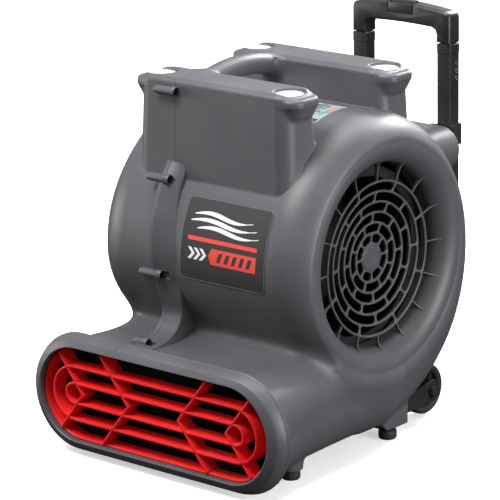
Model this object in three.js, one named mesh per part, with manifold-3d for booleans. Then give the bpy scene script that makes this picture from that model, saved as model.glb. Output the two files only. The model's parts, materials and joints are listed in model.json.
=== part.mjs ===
// Trolley air mover: a centrifugal floor dryer with a wide low outlet at the front (-Y), a round
// inlet on each side (X), a carry bar on top, wheels and a telescopic pull handle at the rear (+Y).
// Millimetres, +Z up. The origin is on the floor under the middle of the bounding box.
import * as THREE from 'three';
import { mergeVertices } from 'three/addons/utils/BufferGeometryUtils.js';
import Module from 'manifold-3d';

const wasm = await Module();
wasm.setup();

// ---- Driving dimensions, mm ----
const GAP = 0.3;              // air between separate pieces that touch on the real object
const WALL = 4;               // moulded wall
const SEAM_X = -59;           // plane where the two moulded shells meet

const DRUM_Y = -13;           // centre of the volute scroll
const DRUM_Z = 247.5;
// Scroll radius every 45 degrees, from the lower front round the bottom, rear and top to the front.
// 0 degrees is the rear, 90 the top, 180 the front and -90 the bottom.
const SCROLL_FROM = -135;
const SCROLL_RADII = [146, 231, 221, 201, 195, 187.5, 181, 166.5];
const DRUM_HALF = 174.5;      // half width of the drum, measured at the crest of each side
const SIDE_ROUND = 53.5;      // how far in from the crest the side rounding starts

const FAN_Y = 3;              // axis of the fan and of both inlets, along X
const FAN_Z = 248;
const INLET_RADIUS = 122;
const CREST_RADIUS = 136;     // where each rounded side is widest
const GRILLE_OUT = 147;       // outer face of the inlet grille at its edge
const GRILLE_THICK = 4;
const GRILLE_DISH = 11;       // how far the middle of the grille is set in

const FRONT_Y = -267;         // front edge of the outlet rim
const OUTLET_Z = 83;          // height of the outlet's centre
const OUTLET_HALF_W = 188.7;
const OUTLET_HALF_H = 61.5;
const RIM_HALF_W = 210;
const RIM_HALF_H = 78;
const RIM_Z = 82;

const BLOCK_TOP = 480;        // stacking face of the two top blocks
const BLOCK_HALF_X = 121.4;
const FRONT_BLOCK = [-141, -79.6];
const REAR_BLOCK = [44.7, 107];
const DRAFT = Math.tan(THREE.MathUtils.degToRad(2));

const LOBE_Z = 337;           // rear lobe that carries the pull handle
const LOBE_X = 72;
const LOBE_RADIUS = 30;
const LOBE_REAR = 241.5;

const TUBE_X = 70.5;          // pull handle tubes
const TUBE_Y = 254;
const TUBE_HALF = 10;
const TUBE_INNER_HALF = 8.4;
const SLIDER_HALF = 8;

const WHEEL_Y = 137;
const WHEEL_Z = 37;
const WHEEL_RADIUS = 34;
const WHEEL_X = 114;
const FOOT_X = 138;
const FOOT_HEIGHT = 12;
const FRONT_FOOT_Y = -160;
const REAR_FOOT_Y = 35;

// ---- Colours and materials ----
const HOUSING_GREY = 0x5f5f65;
const OUTLET_RED = 0xd32124;
const BLACK_PLASTIC = 0x241f24;
const DARK_STEEL = 0x2f2c31;
const BARE_STEEL = 0xa4a6aa;

function material(color, roughness, metalness = 0) {
  return new THREE.MeshStandardMaterial({ color, roughness, metalness });
}

const housingPlastic = material(HOUSING_GREY, 0.5);
const redPlastic = material(OUTLET_RED, 0.4);
const blackPlastic = material(BLACK_PLASTIC, 0.45);
const labelFilm = material(0x38343a, 0.35);
const rubber = material(0x171518, 0.85);
const paintedSteel = material(DARK_STEEL, 0.4, 0.6);
const steel = material(BARE_STEEL, 0.35, 1);
const motorPaint = material(0x3a3d42, 0.5, 0.3);
const laminations = material(0x6b6e73, 0.55, 0.8);

// ---- Closed solids from three.js geometry ----
const alongX = new THREE.Matrix4().makeBasis(
  new THREE.Vector3(0, 1, 0), new THREE.Vector3(0, 0, 1), new THREE.Vector3(1, 0, 0));
const alongY = new THREE.Matrix4().makeBasis(
  new THREE.Vector3(1, 0, 0), new THREE.Vector3(0, 0, 1), new THREE.Vector3(0, -1, 0));

function solidOf(geometry) {
  const bare = geometry.index ? geometry.toNonIndexed() : geometry.clone();
  for (const name of Object.keys(bare.attributes)) {
    if (name !== 'position') bare.deleteAttribute(name);
  }
  const merged = mergeVertices(bare, 1e-4);
  const index = merged.index.array;
  const triangles = [];
  for (let i = 0; i < index.length; i += 3) {
    const [a, b, c] = [index[i], index[i + 1], index[i + 2]];
    if (a !== b && b !== c && c !== a) triangles.push(a, b, c);
  }
  const vertProperties = new Float32Array(merged.attributes.position.array);
  const build = () => new wasm.Manifold(new wasm.Mesh({
    numProp: 3, vertProperties, triVerts: new Uint32Array(triangles) }));
  const solid = build();
  if (solid.volume() > 0) return solid;
  for (let i = 0; i < triangles.length; i += 3) {
    [triangles[i + 1], triangles[i + 2]] = [triangles[i + 2], triangles[i + 1]];
  }
  return build();
}

function joined(solids) {
  return solids.reduce((whole, next) => whole.add(next));
}

function box([x0, x1], [y0, y1], [z0, z1]) {
  const geometry = new THREE.BoxGeometry(x1 - x0, y1 - y0, z1 - z0);
  return solidOf(geometry.translate((x0 + x1) / 2, (y0 + y1) / 2, (z0 + z1) / 2));
}

function cylinder(radius, from, to, sides = 16) {
  const start = new THREE.Vector3(...from);
  const span = new THREE.Vector3(...to).sub(start);
  const geometry = new THREE.CylinderGeometry(radius, radius, span.length(), sides);
  const turn = new THREE.Quaternion().setFromUnitVectors(
    new THREE.Vector3(0, 1, 0), span.clone().normalize());
  geometry.applyQuaternion(turn);
  const middle = start.addScaledVector(span, 0.5);
  return solidOf(geometry.translate(middle.x, middle.y, middle.z));
}

// Turned shape about an axis along X: profile is a list of [radius, x].
function turnedX(profile, y, z, sides = 24) {
  const points = profile.map(([radius, x]) => new THREE.Vector2(radius, x));
  const geometry = new THREE.LatheGeometry(points, sides);
  geometry.rotateZ(-Math.PI / 2);
  return solidOf(geometry.translate(0, y, z));
}

function extruded(outline, holes, depth) {
  const shape = new THREE.Shape(outline.map(([u, v]) => new THREE.Vector2(u, v)));
  shape.holes = holes.map((hole) => new THREE.Path(hole.map(([u, v]) => new THREE.Vector2(u, v))));
  return new THREE.ExtrudeGeometry(shape, { depth, bevelEnabled: false });
}

// Outline in Y and Z, pushed from x0 to x1.
function slabX(outline, [x0, x1], holes = []) {
  return solidOf(extruded(outline, holes, x1 - x0).applyMatrix4(alongX).translate(x0, 0, 0));
}

// Outline in X and Z, pushed from y0 to y1.
function slabY(outline, [y0, y1], holes = []) {
  return solidOf(extruded(outline, holes, y1 - y0).applyMatrix4(alongY).translate(0, y1, 0));
}

// Outline in X and Y, pushed from z0 to z1.
function slabZ(outline, [z0, z1], holes = []) {
  return solidOf(extruded(outline, holes, z1 - z0).translate(0, 0, z0));
}

function roundedRect(cu, cv, halfU, halfV, radius, steps = 4) {
  const points = [];
  const corners = [[1, 1], [-1, 1], [-1, -1], [1, -1]];
  corners.forEach(([su, sv], quarter) => {
    for (let i = 0; i <= steps; i += 1) {
      const angle = (quarter + i / steps) * Math.PI / 2;
      points.push([cu + su * (halfU - radius) + radius * Math.cos(angle),
        cv + sv * (halfV - radius) + radius * Math.sin(angle)]);
    }
  });
  return points;
}

function stadium(halfU, halfV, cv, steps = 4) {
  return roundedRect(0, cv, halfU, halfV, halfV - 0.01, steps);
}

// Skin through a row of convex outlines with equal point counts. place turns (u, v, at) into x, y, z.
function lofted(sections, place) {
  const count = sections[0].outline.length;
  const corners = [];
  const vertex = (s, i) => place(...sections[s].outline[i % count], sections[s].at);
  const triangle = (a, b, c) => corners.push(...a, ...b, ...c);
  for (let s = 0; s + 1 < sections.length; s += 1) {
    for (let i = 0; i < count; i += 1) {
      triangle(vertex(s, i), vertex(s, i + 1), vertex(s + 1, i + 1));
      triangle(vertex(s, i), vertex(s + 1, i + 1), vertex(s + 1, i));
    }
  }
  const last = sections.length - 1;
  for (let i = 1; i + 1 < count; i += 1) {
    triangle(vertex(0, 0), vertex(0, i + 1), vertex(0, i));
    triangle(vertex(last, 0), vertex(last, i), vertex(last, i + 1));
  }
  const geometry = new THREE.BufferGeometry();
  geometry.setAttribute('position', new THREE.Float32BufferAttribute(corners, 3));
  return solidOf(geometry);
}

const placeX = (u, v, at) => [at, u, v];
const placeY = (u, v, at) => [u, at, v];
const placeZ = (u, v, at) => [u, v, at];

function mirrored(solid) {
  return solid.mirror([1, 0, 0]);
}

// ---- Named meshes ----
const airMover = new THREE.Group();

function add(name, solid, look) {
  const mesh = solid.getMesh();
  const geometry = new THREE.BufferGeometry();
  geometry.setAttribute('position', new THREE.BufferAttribute(new Float32Array(mesh.vertProperties), 3));
  geometry.setIndex(new THREE.BufferAttribute(new Uint32Array(mesh.triVerts), 1));
  geometry.computeVertexNormals();
  const node = new THREE.Mesh(geometry, look);
  node.name = name;
  airMover.add(node);
}

function addPair(name, rightSolid, look) {
  add(`${name}_right`, rightSolid, look);
  add(`${name}_left`, mirrored(rightSolid), look);
}

// ---- Volute scroll ----
function scrollRadius(degrees) {
  const turned = (degrees - SCROLL_FROM + 720) % 360;
  const step = Math.floor(turned / 45);
  const count = SCROLL_RADII.length;
  return THREE.MathUtils.lerp(SCROLL_RADII[step % count], SCROLL_RADII[(step + 1) % count],
    THREE.MathUtils.smoothstep(turned / 45 - step, -0.2, 1.2));
}

function polar(y, z, radius, degrees) {
  const angle = THREE.MathUtils.degToRad(degrees);
  return [y + radius * Math.cos(angle), z + radius * Math.sin(angle)];
}

function scrollPoint(degrees, offset = 0) {
  return polar(DRUM_Y, DRUM_Z, scrollRadius(degrees) + offset, degrees);
}

// The drum's outline at a point of the side rounding: spread 1 is the scroll, 0 the round crest.
function drumOutline(inset, spread) {
  const sides = 32;
  return Array.from({ length: sides }, (_, i) => {
    const degrees = -180 + i * 360 / sides;
    const crest = polar(FAN_Y, FAN_Z, CREST_RADIUS - inset, degrees);
    const scroll = scrollPoint(degrees, -inset);
    return [0, 1].map((axis) => THREE.MathUtils.lerp(crest[axis], scroll[axis], spread));
  });
}

function drum(inset) {
  const steps = 4;
  const half = DRUM_HALF - inset;
  const sections = [];
  for (let i = 0; i <= steps; i += 1) {
    const angle = i / steps * Math.PI / 2;
    const x = half - SIDE_ROUND * (1 - Math.sin(angle));
    const outline = drumOutline(inset, Math.cos(angle));
    sections.push({ at: x, outline }, { at: -x, outline });
  }
  sections.sort((a, b) => a.at - b.at);
  return lofted(sections, placeX);
}

// Outlet duct: from under the scroll to the back of the rim, flaring sideways.
const DUCT_ROUND = 58;
const DUCT_SECTIONS = [
  { y: -246, halfWidth: 194.5, low: 17, high: 149 },
  { y: -215, halfWidth: 190, low: 17, high: 149 },
  { y: -180, halfWidth: 182, low: 17, high: 150 },
  { y: -140, halfWidth: 176, low: 17, high: 154 },
  { y: -20, halfWidth: 170, low: 17, high: 156 },
];

function duct(inset) {
  const sections = DUCT_SECTIONS.map(({ y, halfWidth, low, high }) => ({
    at: y,
    outline: roundedRect(0, (low + high) / 2, halfWidth - inset, (high - low) / 2 - inset,
      DUCT_ROUND - inset, 3),
  }));
  return lofted(sections, placeY);
}

function outletRim() {
  const section = (y, halfW, halfH, z) => ({ at: y, outline: stadium(halfW, halfH, z) });
  return lofted([
    section(FRONT_Y, OUTLET_HALF_W + 1, OUTLET_HALF_H + 1, OUTLET_Z),
    section(FRONT_Y + 10, RIM_HALF_W, RIM_HALF_H, RIM_Z),
    section(FRONT_Y + 27, RIM_HALF_W, RIM_HALF_H, RIM_Z),
    section(FRONT_Y + 31, 196, 67, OUTLET_Z),
  ], placeY);
}

function outletMouth() {
  const section = (y) => ({ at: y, outline: stadium(OUTLET_HALF_W, OUTLET_HALF_H, OUTLET_Z) });
  return lofted([section(FRONT_Y - 3), section(-238)], placeY);
}

// ---- Top blocks, carry bar, lobe and flanges ----
function block([y0, y1], inset) {
  const chamfer = 5;
  const bottom = 320;
  const section = (z, grow) => ({
    at: z,
    outline: roundedRect(0, (y0 + y1) / 2, BLOCK_HALF_X + grow, (y1 - y0) / 2 + grow, 20, 2),
  });
  const widest = (BLOCK_TOP - bottom) * DRAFT;
  const top = BLOCK_TOP - 2.5 * inset;
  return lofted([
    section(bottom, widest - inset),
    section(top - chamfer, -inset),
    section(top, -chamfer - inset),
  ], placeZ);
}

// Lip at each end of a block, under which the supply lead is wound.
function cordLips([y0, y1]) {
  const lip = slabZ(roundedRect(112, (y0 + y1) / 2, 24, (y1 - y0) / 2 - 3, 18, 2), [456, 473]);
  return lip.add(mirrored(lip));
}

function stackingPockets() {
  const pockets = [];
  for (const x of [-105, 105]) {
    for (const y of [-113, 75]) {
      pockets.push(cylinder(19.5, [x, y, BLOCK_TOP - 6], [x, y, BLOCK_TOP + 5], 12));
    }
  }
  return joined(pockets);
}

const BAR_HALF = 14;
function carryBar() {
  const outline = [
    [-84, 461], [-60, 463], [-18, 464.5], [24, 463], [52, 461],
    [52, 479], [24, 486], [-18, 489], [-60, 486], [-84, 479],
  ];
  const core = slabX(outline, [SEAM_X - BAR_HALF + 3, SEAM_X + BAR_HALF - 3]);
  const slimmer = outline.map(([y, z]) => [y, 474 + (z - 474) * 0.7]);
  return core.add(slabX(slimmer, [SEAM_X - BAR_HALF, SEAM_X + BAR_HALF]));
}

function lobe(inset) {
  const outline = roundedRect(0, LOBE_Z, LOBE_X + LOBE_RADIUS - inset, LOBE_RADIUS - inset,
    LOBE_RADIUS - inset - 0.01, 3);
  return slabY(outline, [90, LOBE_REAR - inset]);
}

// Raised rib that follows the scroll along the seam.
function seamRib(fromDegrees, toDegrees, height, [x0, x1]) {
  const steps = 5;
  const outer = [];
  const inner = [];
  for (let i = 0; i <= steps; i += 1) {
    const angle = THREE.MathUtils.lerp(fromDegrees, toDegrees, i / steps);
    outer.push(scrollPoint(angle, height));
    inner.unshift(scrollPoint(angle, -WALL / 2));
  }
  return slabX([...outer, ...inner], [x0, x1]);
}

function frontFairing() {
  const outline = [[-160, 215], [-191, 215], [-196, 185], [-217, 151], [-222, 140], [-160, 140]];
  return slabX(outline, [SEAM_X - 7, SEAM_X + 12]);
}

// Where the seam screws sit and the x where each head ends.
const BOSS_RIGHT = SEAM_X + 7;
const SEAM_SCREWS = [
  { y: -146, z: 464, head: BOSS_RIGHT, boss: true },
  { y: -163, z: 355, head: BOSS_RIGHT, boss: true },
  { y: -186, z: 268, head: BOSS_RIGHT, boss: true },
  { y: -211, z: 155, head: BOSS_RIGHT, boss: true },
  { y: 38, z: 473, head: SEAM_X + BAR_HALF, boss: false },
  { y: 113, z: 462, head: BOSS_RIGHT, boss: true },
  ...[12, -36].map((degrees) => {
    const [y, z] = scrollPoint(degrees, 4);
    return { y, z, head: BOSS_RIGHT, boss: true };
  }),
];
const BOSS_RADIUS = 6.5;

function seamBosses() {
  const bosses = SEAM_SCREWS.filter(({ boss }) => boss);
  return joined(bosses.map(({ y, z }) =>
    cylinder(BOSS_RADIUS, [SEAM_X - 30, y, z], [BOSS_RIGHT, y, z], 8)));
}

const SCREW_HEAD = { radius: 4.1, height: 2.6 };
const SCREW_SHANK = { radius: 2.1, length: 22 };

function seamScrewHoles() {
  return joined(SEAM_SCREWS.map(({ y, z, head }) => {
    const seat = head - SCREW_HEAD.height - 2 * GAP;
    const wide = cylinder(SCREW_HEAD.radius + 2 * GAP, [seat, y, z], [head + 9, y, z], 8);
    return wide.add(cylinder(SCREW_SHANK.radius + 2 * GAP,
      [seat - SCREW_SHANK.length - 2 * GAP, y, z], [head, y, z], 6));
  }));
}

function seamScrew({ y, z, head }) {
  const top = head - GAP;
  const under = top - SCREW_HEAD.height;
  return turnedX([[0, top], [SCREW_HEAD.radius, top], [SCREW_HEAD.radius, under],
    [SCREW_SHANK.radius, under], [SCREW_SHANK.radius, under - SCREW_SHANK.length],
    [0, under - SCREW_SHANK.length]], y, z, 8);
}

// ---- Inlets ----
function bellmouth() {
  const grilleBack = GRILLE_OUT - GRILLE_THICK;
  return turnedX([
    [INLET_RADIUS, grilleBack], [INLET_RADIUS, 153], [125, 165], [CREST_RADIUS - 5, DRUM_HALF - 1],
    [CREST_RADIUS, DRUM_HALF], [CREST_RADIUS, DRUM_HALF - WALL], [129.5, 165], [126, grilleBack],
    [INLET_RADIUS, grilleBack]], FAN_Y, FAN_Z, 24);
}

// Slotted disc: bands of slots, set half a slot round from band to band.
const HUB_RADIUS = 18;
const BAND_PITCH = 13.6;
const BAND_COUNT = 6;
const BAR = 3;

function slot(inner, outer, from, to) {
  const steps = 2;
  const arc = (radius, start, end) => Array.from({ length: steps + 1 }, (_, i) => {
    const angle = THREE.MathUtils.lerp(start, end, i / steps);
    return [radius * Math.cos(angle), radius * Math.sin(angle)];
  });
  return [...arc(outer, from, to), ...arc(inner, to, from)];
}

function inletGrille() {
  const slots = [];
  for (let band = 0; band <= BAND_COUNT; band += 1) {
    const inner = HUB_RADIUS + band * BAND_PITCH + BAR / 2;
    const isLast = band === BAND_COUNT;
    const outer = isLast ? INLET_RADIUS - 1 : inner + BAND_PITCH - BAR;
    const count = isLast ? 16 : 8;
    const webAngle = BAR / ((inner + outer) / 2);
    for (let i = 0; i < count; i += 1) {
      const centre = (i + (band % 2) / 2) * 2 * Math.PI / count;
      const half = Math.PI / count - webAngle / 2;
      slots.push(slot(inner, outer, centre - half, centre + half));
    }
  }
  const edge = INLET_RADIUS + 2.5;
  const rimSides = 24;
  const rim = Array.from({ length: rimSides }, (_, i) => {
    const angle = i * 2 * Math.PI / rimSides;
    return [edge * Math.cos(angle), edge * Math.sin(angle)];
  });
  const geometry = extruded(rim, slots, GRILLE_THICK);
  const position = geometry.attributes.position;
  for (let i = 0; i < position.count; i += 1) {
    const radius = Math.hypot(position.getX(i), position.getY(i));
    const inset = GRILLE_DISH * Math.max(0, 1 - (radius / INLET_RADIUS) ** 2);
    position.setZ(i, position.getZ(i) - inset);
  }
  geometry.applyMatrix4(alongX).translate(GRILLE_OUT - GRILLE_THICK, FAN_Y, FAN_Z);
  return solidOf(geometry);
}

// ---- Undercarriage and rear mounts moulded on the shells ----
function footBoss(y) {
  return cylinder(15, [FOOT_X, y, FOOT_HEIGHT + GAP], [FOOT_X, y, 40], 12);
}

const WHEEL_BLOCK_REAR = 70;
function wheelBlock() {
  const outline = [[16, 24], [24, FOOT_HEIGHT + GAP], [48, FOOT_HEIGHT + GAP],
    [WHEEL_BLOCK_REAR, 14], [WHEEL_BLOCK_REAR, 52], [16, 40]];
  return slabX(outline, [102, 146]);
}

const LOWER_POST_Z = [138, 162];
function lowerPost() {
  return box([TUBE_X - 9, TUBE_X + 9], [150, LOBE_REAR], LOWER_POST_Z);
}

const PANEL = { x: 2, z: 236, halfX: 40, halfZ: 40, front: 226, back: 201 };
function controlBoss() {
  const section = (y, grow) => ({
    at: y, outline: roundedRect(PANEL.x, PANEL.z, PANEL.halfX + grow, PANEL.halfZ + grow, 10, 2) });
  return lofted([section(160, 14), section(PANEL.front, 6)], placeY);
}

function controlPocket() {
  const outline = roundedRect(PANEL.x, PANEL.z, PANEL.halfX, PANEL.halfZ, 6, 2);
  return slabY(outline, [PANEL.back, PANEL.front + 5]);
}

// ---- Label recess on the drum front ----
const LABEL = { x0: -20, x1: 115, from: 149, to: 183 };
function labelSkin(grow, bottom, top) {
  const steps = 5;
  const outer = [];
  const inner = [];
  const margin = grow / 3;
  for (let i = 0; i <= steps; i += 1) {
    const angle = THREE.MathUtils.lerp(LABEL.from - margin, LABEL.to + margin, i / steps);
    outer.push(scrollPoint(angle, top));
    inner.unshift(scrollPoint(angle, bottom));
  }
  return slabX([...outer, ...inner], [LABEL.x0 - grow, LABEL.x1 + grow]);
}

// ---- The two shells ----
function housingBody() {
  const wheelBlockRight = wheelBlock();
  const postRight = lowerPost();
  const feet = [FRONT_FOOT_Y, REAR_FOOT_Y].map(footBoss);
  let outside = joined([
    drum(0), duct(0), outletRim(), block(FRONT_BLOCK, 0), block(REAR_BLOCK, 0),
    cordLips(FRONT_BLOCK), cordLips(REAR_BLOCK), carryBar(), lobe(0),
    seamRib(128, 180, 10, [SEAM_X - 5, SEAM_X + 9]), frontFairing(),
    seamRib(-62, 42, 8, [SEAM_X - 5, SEAM_X + 5]), seamBosses(), controlBoss(),
    wheelBlockRight, mirrored(wheelBlockRight), postRight, mirrored(postRight),
    ...feet, ...feet.map(mirrored),
  ]);
  const inside = joined([
    drum(WALL), duct(WALL), outletMouth(), block(FRONT_BLOCK, WALL), block(REAR_BLOCK, WALL),
    lobe(WALL),
  ]);
  const sideHole = cylinder(CREST_RADIUS - 3, [150, FAN_Y, FAN_Z], [190, FAN_Y, FAN_Z], 24);
  const inlet = bellmouth().add(inletGrille());
  outside = outside.subtract(inside).subtract(sideHole).subtract(mirrored(sideHole));
  outside = outside.add(inlet).add(mirrored(inlet));
  return outside.subtract(stackingPockets()).subtract(controlPocket())
    .subtract(labelSkin(GAP, -1, 5)).subtract(seamScrewHoles());
}

const body = housingBody();
const FAR = 600;
add('housing_right', body.intersect(box([SEAM_X + GAP / 2, FAR], [-FAR, FAR], [-FAR, FAR])), housingPlastic);
add('housing_left', body.intersect(box([-FAR, SEAM_X - GAP / 2], [-FAR, FAR], [-FAR, FAR])), housingPlastic);
SEAM_SCREWS.forEach((screw, i) => add(`seam_screw_${i + 1}`, seamScrew(screw), steel));

add('front_label', labelSkin(0, -0.7, 0), labelFilm);

function topLabel() {
  const angles = [102, 97, 92, 87, 82];
  const outer = angles.map((angle) => scrollPoint(angle, 0.8));
  const inner = angles.map((angle) => scrollPoint(angle, GAP)).reverse();
  return slabX([...outer, ...inner], [48, 94]);
}
add('top_label', topLabel(), material(0xd9e2df, 0.4));

// ---- Outlet grille: two closed rings inside a frame, crossed by four chevrons ----
const OUTLET_GRILLE = { front: FRONT_Y + 5, back: FRONT_Y + 25, rib: 3 };

function stadiumRing(halfW, halfH, thickness) {
  const outline = stadium(halfW, halfH, OUTLET_Z);
  const hole = stadium(halfW - thickness, halfH - thickness, OUTLET_Z);
  return slabY(outline, [OUTLET_GRILLE.front, OUTLET_GRILLE.back], [hole]);
}

function chevron(apexX) {
  const reach = 70;
  const lean = 0.78 * reach * Math.sign(apexX);
  const width = 1.2 * OUTLET_GRILLE.rib * Math.sign(apexX);
  const outline = [[apexX, OUTLET_Z], [apexX + lean, OUTLET_Z + reach],
    [apexX + lean + width, OUTLET_Z + reach], [apexX + width, OUTLET_Z],
    [apexX + lean + width, OUTLET_Z - reach], [apexX + lean, OUTLET_Z - reach]];
  return slabY(outline, [OUTLET_GRILLE.front, OUTLET_GRILLE.back]);
}

function outletGrille() {
  const halfW = OUTLET_HALF_W - 2 * GAP;
  const halfH = OUTLET_HALF_H - 2 * GAP;
  const filled = slabY(stadium(halfW, halfH, OUTLET_Z), [OUTLET_GRILLE.front, OUTLET_GRILLE.back]);
  const rib = OUTLET_GRILLE.rib;
  const chevrons = joined([-120, -42, 42, 120].map(chevron)).intersect(filled);
  return joined([stadiumRing(halfW, halfH, rib), stadiumRing(171, 37, rib),
    stadiumRing(149.5, 14.5, rib), chevrons]);
}
add('outlet_grille', outletGrille(), redPlastic);

// ---- Rubber feet ----
function rubberFoot(y) {
  return lofted([
    { at: 0, outline: roundedRect(FOOT_X, y, 10.5, 10.5, 10.4, 3) },
    { at: 2.5, outline: roundedRect(FOOT_X, y, 12, 12, 11.9, 3) },
    { at: FOOT_HEIGHT, outline: roundedRect(FOOT_X, y, 12, 12, 11.9, 3) },
  ], placeZ);
}
addPair('front_foot', rubberFoot(FRONT_FOOT_Y), rubber);
addPair('rear_foot', rubberFoot(REAR_FOOT_Y), rubber);

// ---- Wheels, forks and axles ----
const WHEEL_HALF = 11;
const WHEEL_SIDES = 18;
const HUB_HALF = 15.5;
const TYRE_INNER = 25;
const AXLE_RADIUS = 5;

function tyre() {
  const edge = WHEEL_HALF - 3;
  return turnedX([
    [TYRE_INNER, WHEEL_X - WHEEL_HALF], [WHEEL_RADIUS - 2, WHEEL_X - WHEEL_HALF],
    [WHEEL_RADIUS, WHEEL_X - edge], [WHEEL_RADIUS, WHEEL_X + edge],
    [WHEEL_RADIUS - 2, WHEEL_X + WHEEL_HALF], [TYRE_INNER, WHEEL_X + WHEEL_HALF],
    [TYRE_INNER, WHEEL_X - WHEEL_HALF]], WHEEL_Y, WHEEL_Z, WHEEL_SIDES);
}

function wheelHub() {
  const rim = TYRE_INNER - GAP;
  const bore = AXLE_RADIUS + GAP;
  return turnedX([
    [bore, WHEEL_X - HUB_HALF], [9, WHEEL_X - HUB_HALF], [9, WHEEL_X - 4], [rim - 3, WHEEL_X - 4],
    [rim, WHEEL_X - 10], [rim, WHEEL_X + 10], [rim - 3, WHEEL_X + 4], [9, WHEEL_X + 4],
    [9, WHEEL_X + HUB_HALF], [bore, WHEEL_X + HUB_HALF], [bore, WHEEL_X - HUB_HALF]],
  WHEEL_Y, WHEEL_Z, WHEEL_SIDES);
}

const FORK_PLATE = 4;
const FORK_OUTER = 134;
const FORK_INNER = 94;
const FORK_FRONT = WHEEL_BLOCK_REAR + GAP;

function wheelFork() {
  const nose = Array.from({ length: 7 }, (_, i) => {
    const angle = THREE.MathUtils.degToRad(-80 + i * 25);
    return [WHEEL_Y + 15 * Math.cos(angle), WHEEL_Z + 15 * Math.sin(angle)];
  });
  const outline = [[FORK_FRONT, 20], ...nose, [FORK_FRONT + 10, 38], [FORK_FRONT, 35]];
  const hole = roundedRect(WHEEL_Y, WHEEL_Z, AXLE_RADIUS + GAP, AXLE_RADIUS + GAP, AXLE_RADIUS, 3);
  const plate = (x) => slabX(outline, [x, x + FORK_PLATE], [hole]);
  const web = box([FORK_INNER, FORK_OUTER], [FORK_FRONT, FORK_FRONT + 8], [20, 35]);
  return joined([plate(FORK_INNER), plate(FORK_OUTER - FORK_PLATE), web]);
}

function axleBolt() {
  const headEnd = FORK_OUTER + GAP + 6;
  const shank = cylinder(AXLE_RADIUS, [FORK_INNER - 8, WHEEL_Y, WHEEL_Z],
    [FORK_OUTER + GAP, WHEEL_Y, WHEEL_Z], 16);
  const head = cylinder(8.5, [FORK_OUTER + GAP, WHEEL_Y, WHEEL_Z], [headEnd, WHEEL_Y, WHEEL_Z], 6);
  return shank.add(head);
}

function axleNut() {
  const nutOuter = FORK_INNER - GAP;
  const blank = cylinder(8.5, [nutOuter - 6, WHEEL_Y, WHEEL_Z], [nutOuter, WHEEL_Y, WHEEL_Z], 6);
  const bore = cylinder(AXLE_RADIUS + GAP, [nutOuter - 10, WHEEL_Y, WHEEL_Z],
    [nutOuter + 5, WHEEL_Y, WHEEL_Z], 16);
  return blank.subtract(bore);
}

addPair('wheel_tyre', tyre(), rubber);
addPair('wheel_hub', wheelHub(), blackPlastic);
addPair('wheel_fork', wheelFork(), blackPlastic);
addPair('axle_bolt', axleBolt(), steel);
addPair('axle_nut', axleNut(), steel);

// ---- Telescopic pull handle ----
const TUBE_BOTTOM = 128;
const TUBE_TOP = 455;
const COLLAR_TOP = 470;
const SLIDER_BOTTOM = 145;
const GRIP_BOTTOM = 476;

function squareTube(half, innerHalf, corner, [z0, z1]) {
  const outline = roundedRect(TUBE_X, TUBE_Y, half, half, corner, 1);
  const hole = roundedRect(TUBE_X, TUBE_Y, innerHalf, innerHalf, 1, 1);
  return slabZ(outline, [z0, z1], [hole]);
}

function tubeClamp([z0, z1]) {
  const inner = TUBE_HALF + GAP;
  const front = LOBE_REAR + GAP;
  const outline = [
    [TUBE_X - 19, front], [TUBE_X - inner, front], [TUBE_X - inner, TUBE_Y + inner],
    [TUBE_X + inner, TUBE_Y + inner], [TUBE_X + inner, front], [TUBE_X + 19, front],
    [TUBE_X + 19, front + 2.5], [TUBE_X + inner + 2.5, front + 2.5],
    [TUBE_X + inner + 2.5, TUBE_Y + inner + 2.5], [TUBE_X - inner - 2.5, TUBE_Y + inner + 2.5],
    [TUBE_X - inner - 2.5, front + 2.5], [TUBE_X - 19, front + 2.5]];
  return slabZ(outline, [z0, z1]);
}

function handleGrip() {
  const outline = [
    [-81, GRIP_BOTTOM], [-57, GRIP_BOTTOM], [-56, 486], [-50, 492], [0, 494.5], [50, 492], [56, 486],
    [57, GRIP_BOTTOM], [81, GRIP_BOTTOM], [81, 504], [77, 512], [68, 516.5], [36, 521], [0, 523],
    [-36, 521], [-68, 516.5], [-77, 512], [-81, 504]];
  const core = slabY(outline, [TUBE_Y - 12.5, TUBE_Y + 12.5]);
  const recess = box([-20, 20], [TUBE_Y - 7, TUBE_Y + 7], [509, 540]);
  return core.subtract(recess);
}

function gripButton() {
  const outline = [[-19.3, 514.5], [19.3, 514.5], [19.3, 523], [15, 526], [-15, 526], [-19.3, 523]];
  return slabY(outline, [TUBE_Y - 6.4, TUBE_Y + 6.4]);
}

addPair('outer_tube', squareTube(TUBE_HALF, TUBE_INNER_HALF, 3, [TUBE_BOTTOM, TUBE_TOP]), paintedSteel);
addPair('tube_collar', squareTube(TUBE_HALF + 1.5, TUBE_INNER_HALF, 3, [TUBE_TOP + GAP, COLLAR_TOP]),
  blackPlastic);
addPair('inner_tube', squareTube(SLIDER_HALF, SLIDER_HALF - 1.5, 2, [SLIDER_BOTTOM, GRIP_BOTTOM - GAP]),
  paintedSteel);
addPair('upper_clamp', tubeClamp([338, 366]), blackPlastic);
addPair('lower_clamp', tubeClamp(LOWER_POST_Z), blackPlastic);
add('trolley_grip', handleGrip(), blackPlastic);
add('grip_button', gripButton(), blackPlastic);

// ---- Fan, motor and bracket inside the scroll ----
const WHEEL_OUT = 118;
const WHEEL_IN = 104;
const FAN_HALF = 123;
const BACKPLATE_X = 8;
const SHAFT_RADIUS = 8;

function ring(outer, inner, [x0, x1], sides = 20) {
  return turnedX([[inner, x0], [outer, x0], [outer, x1], [inner, x1], [inner, x0]], FAN_Y, FAN_Z, sides);
}

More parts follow.
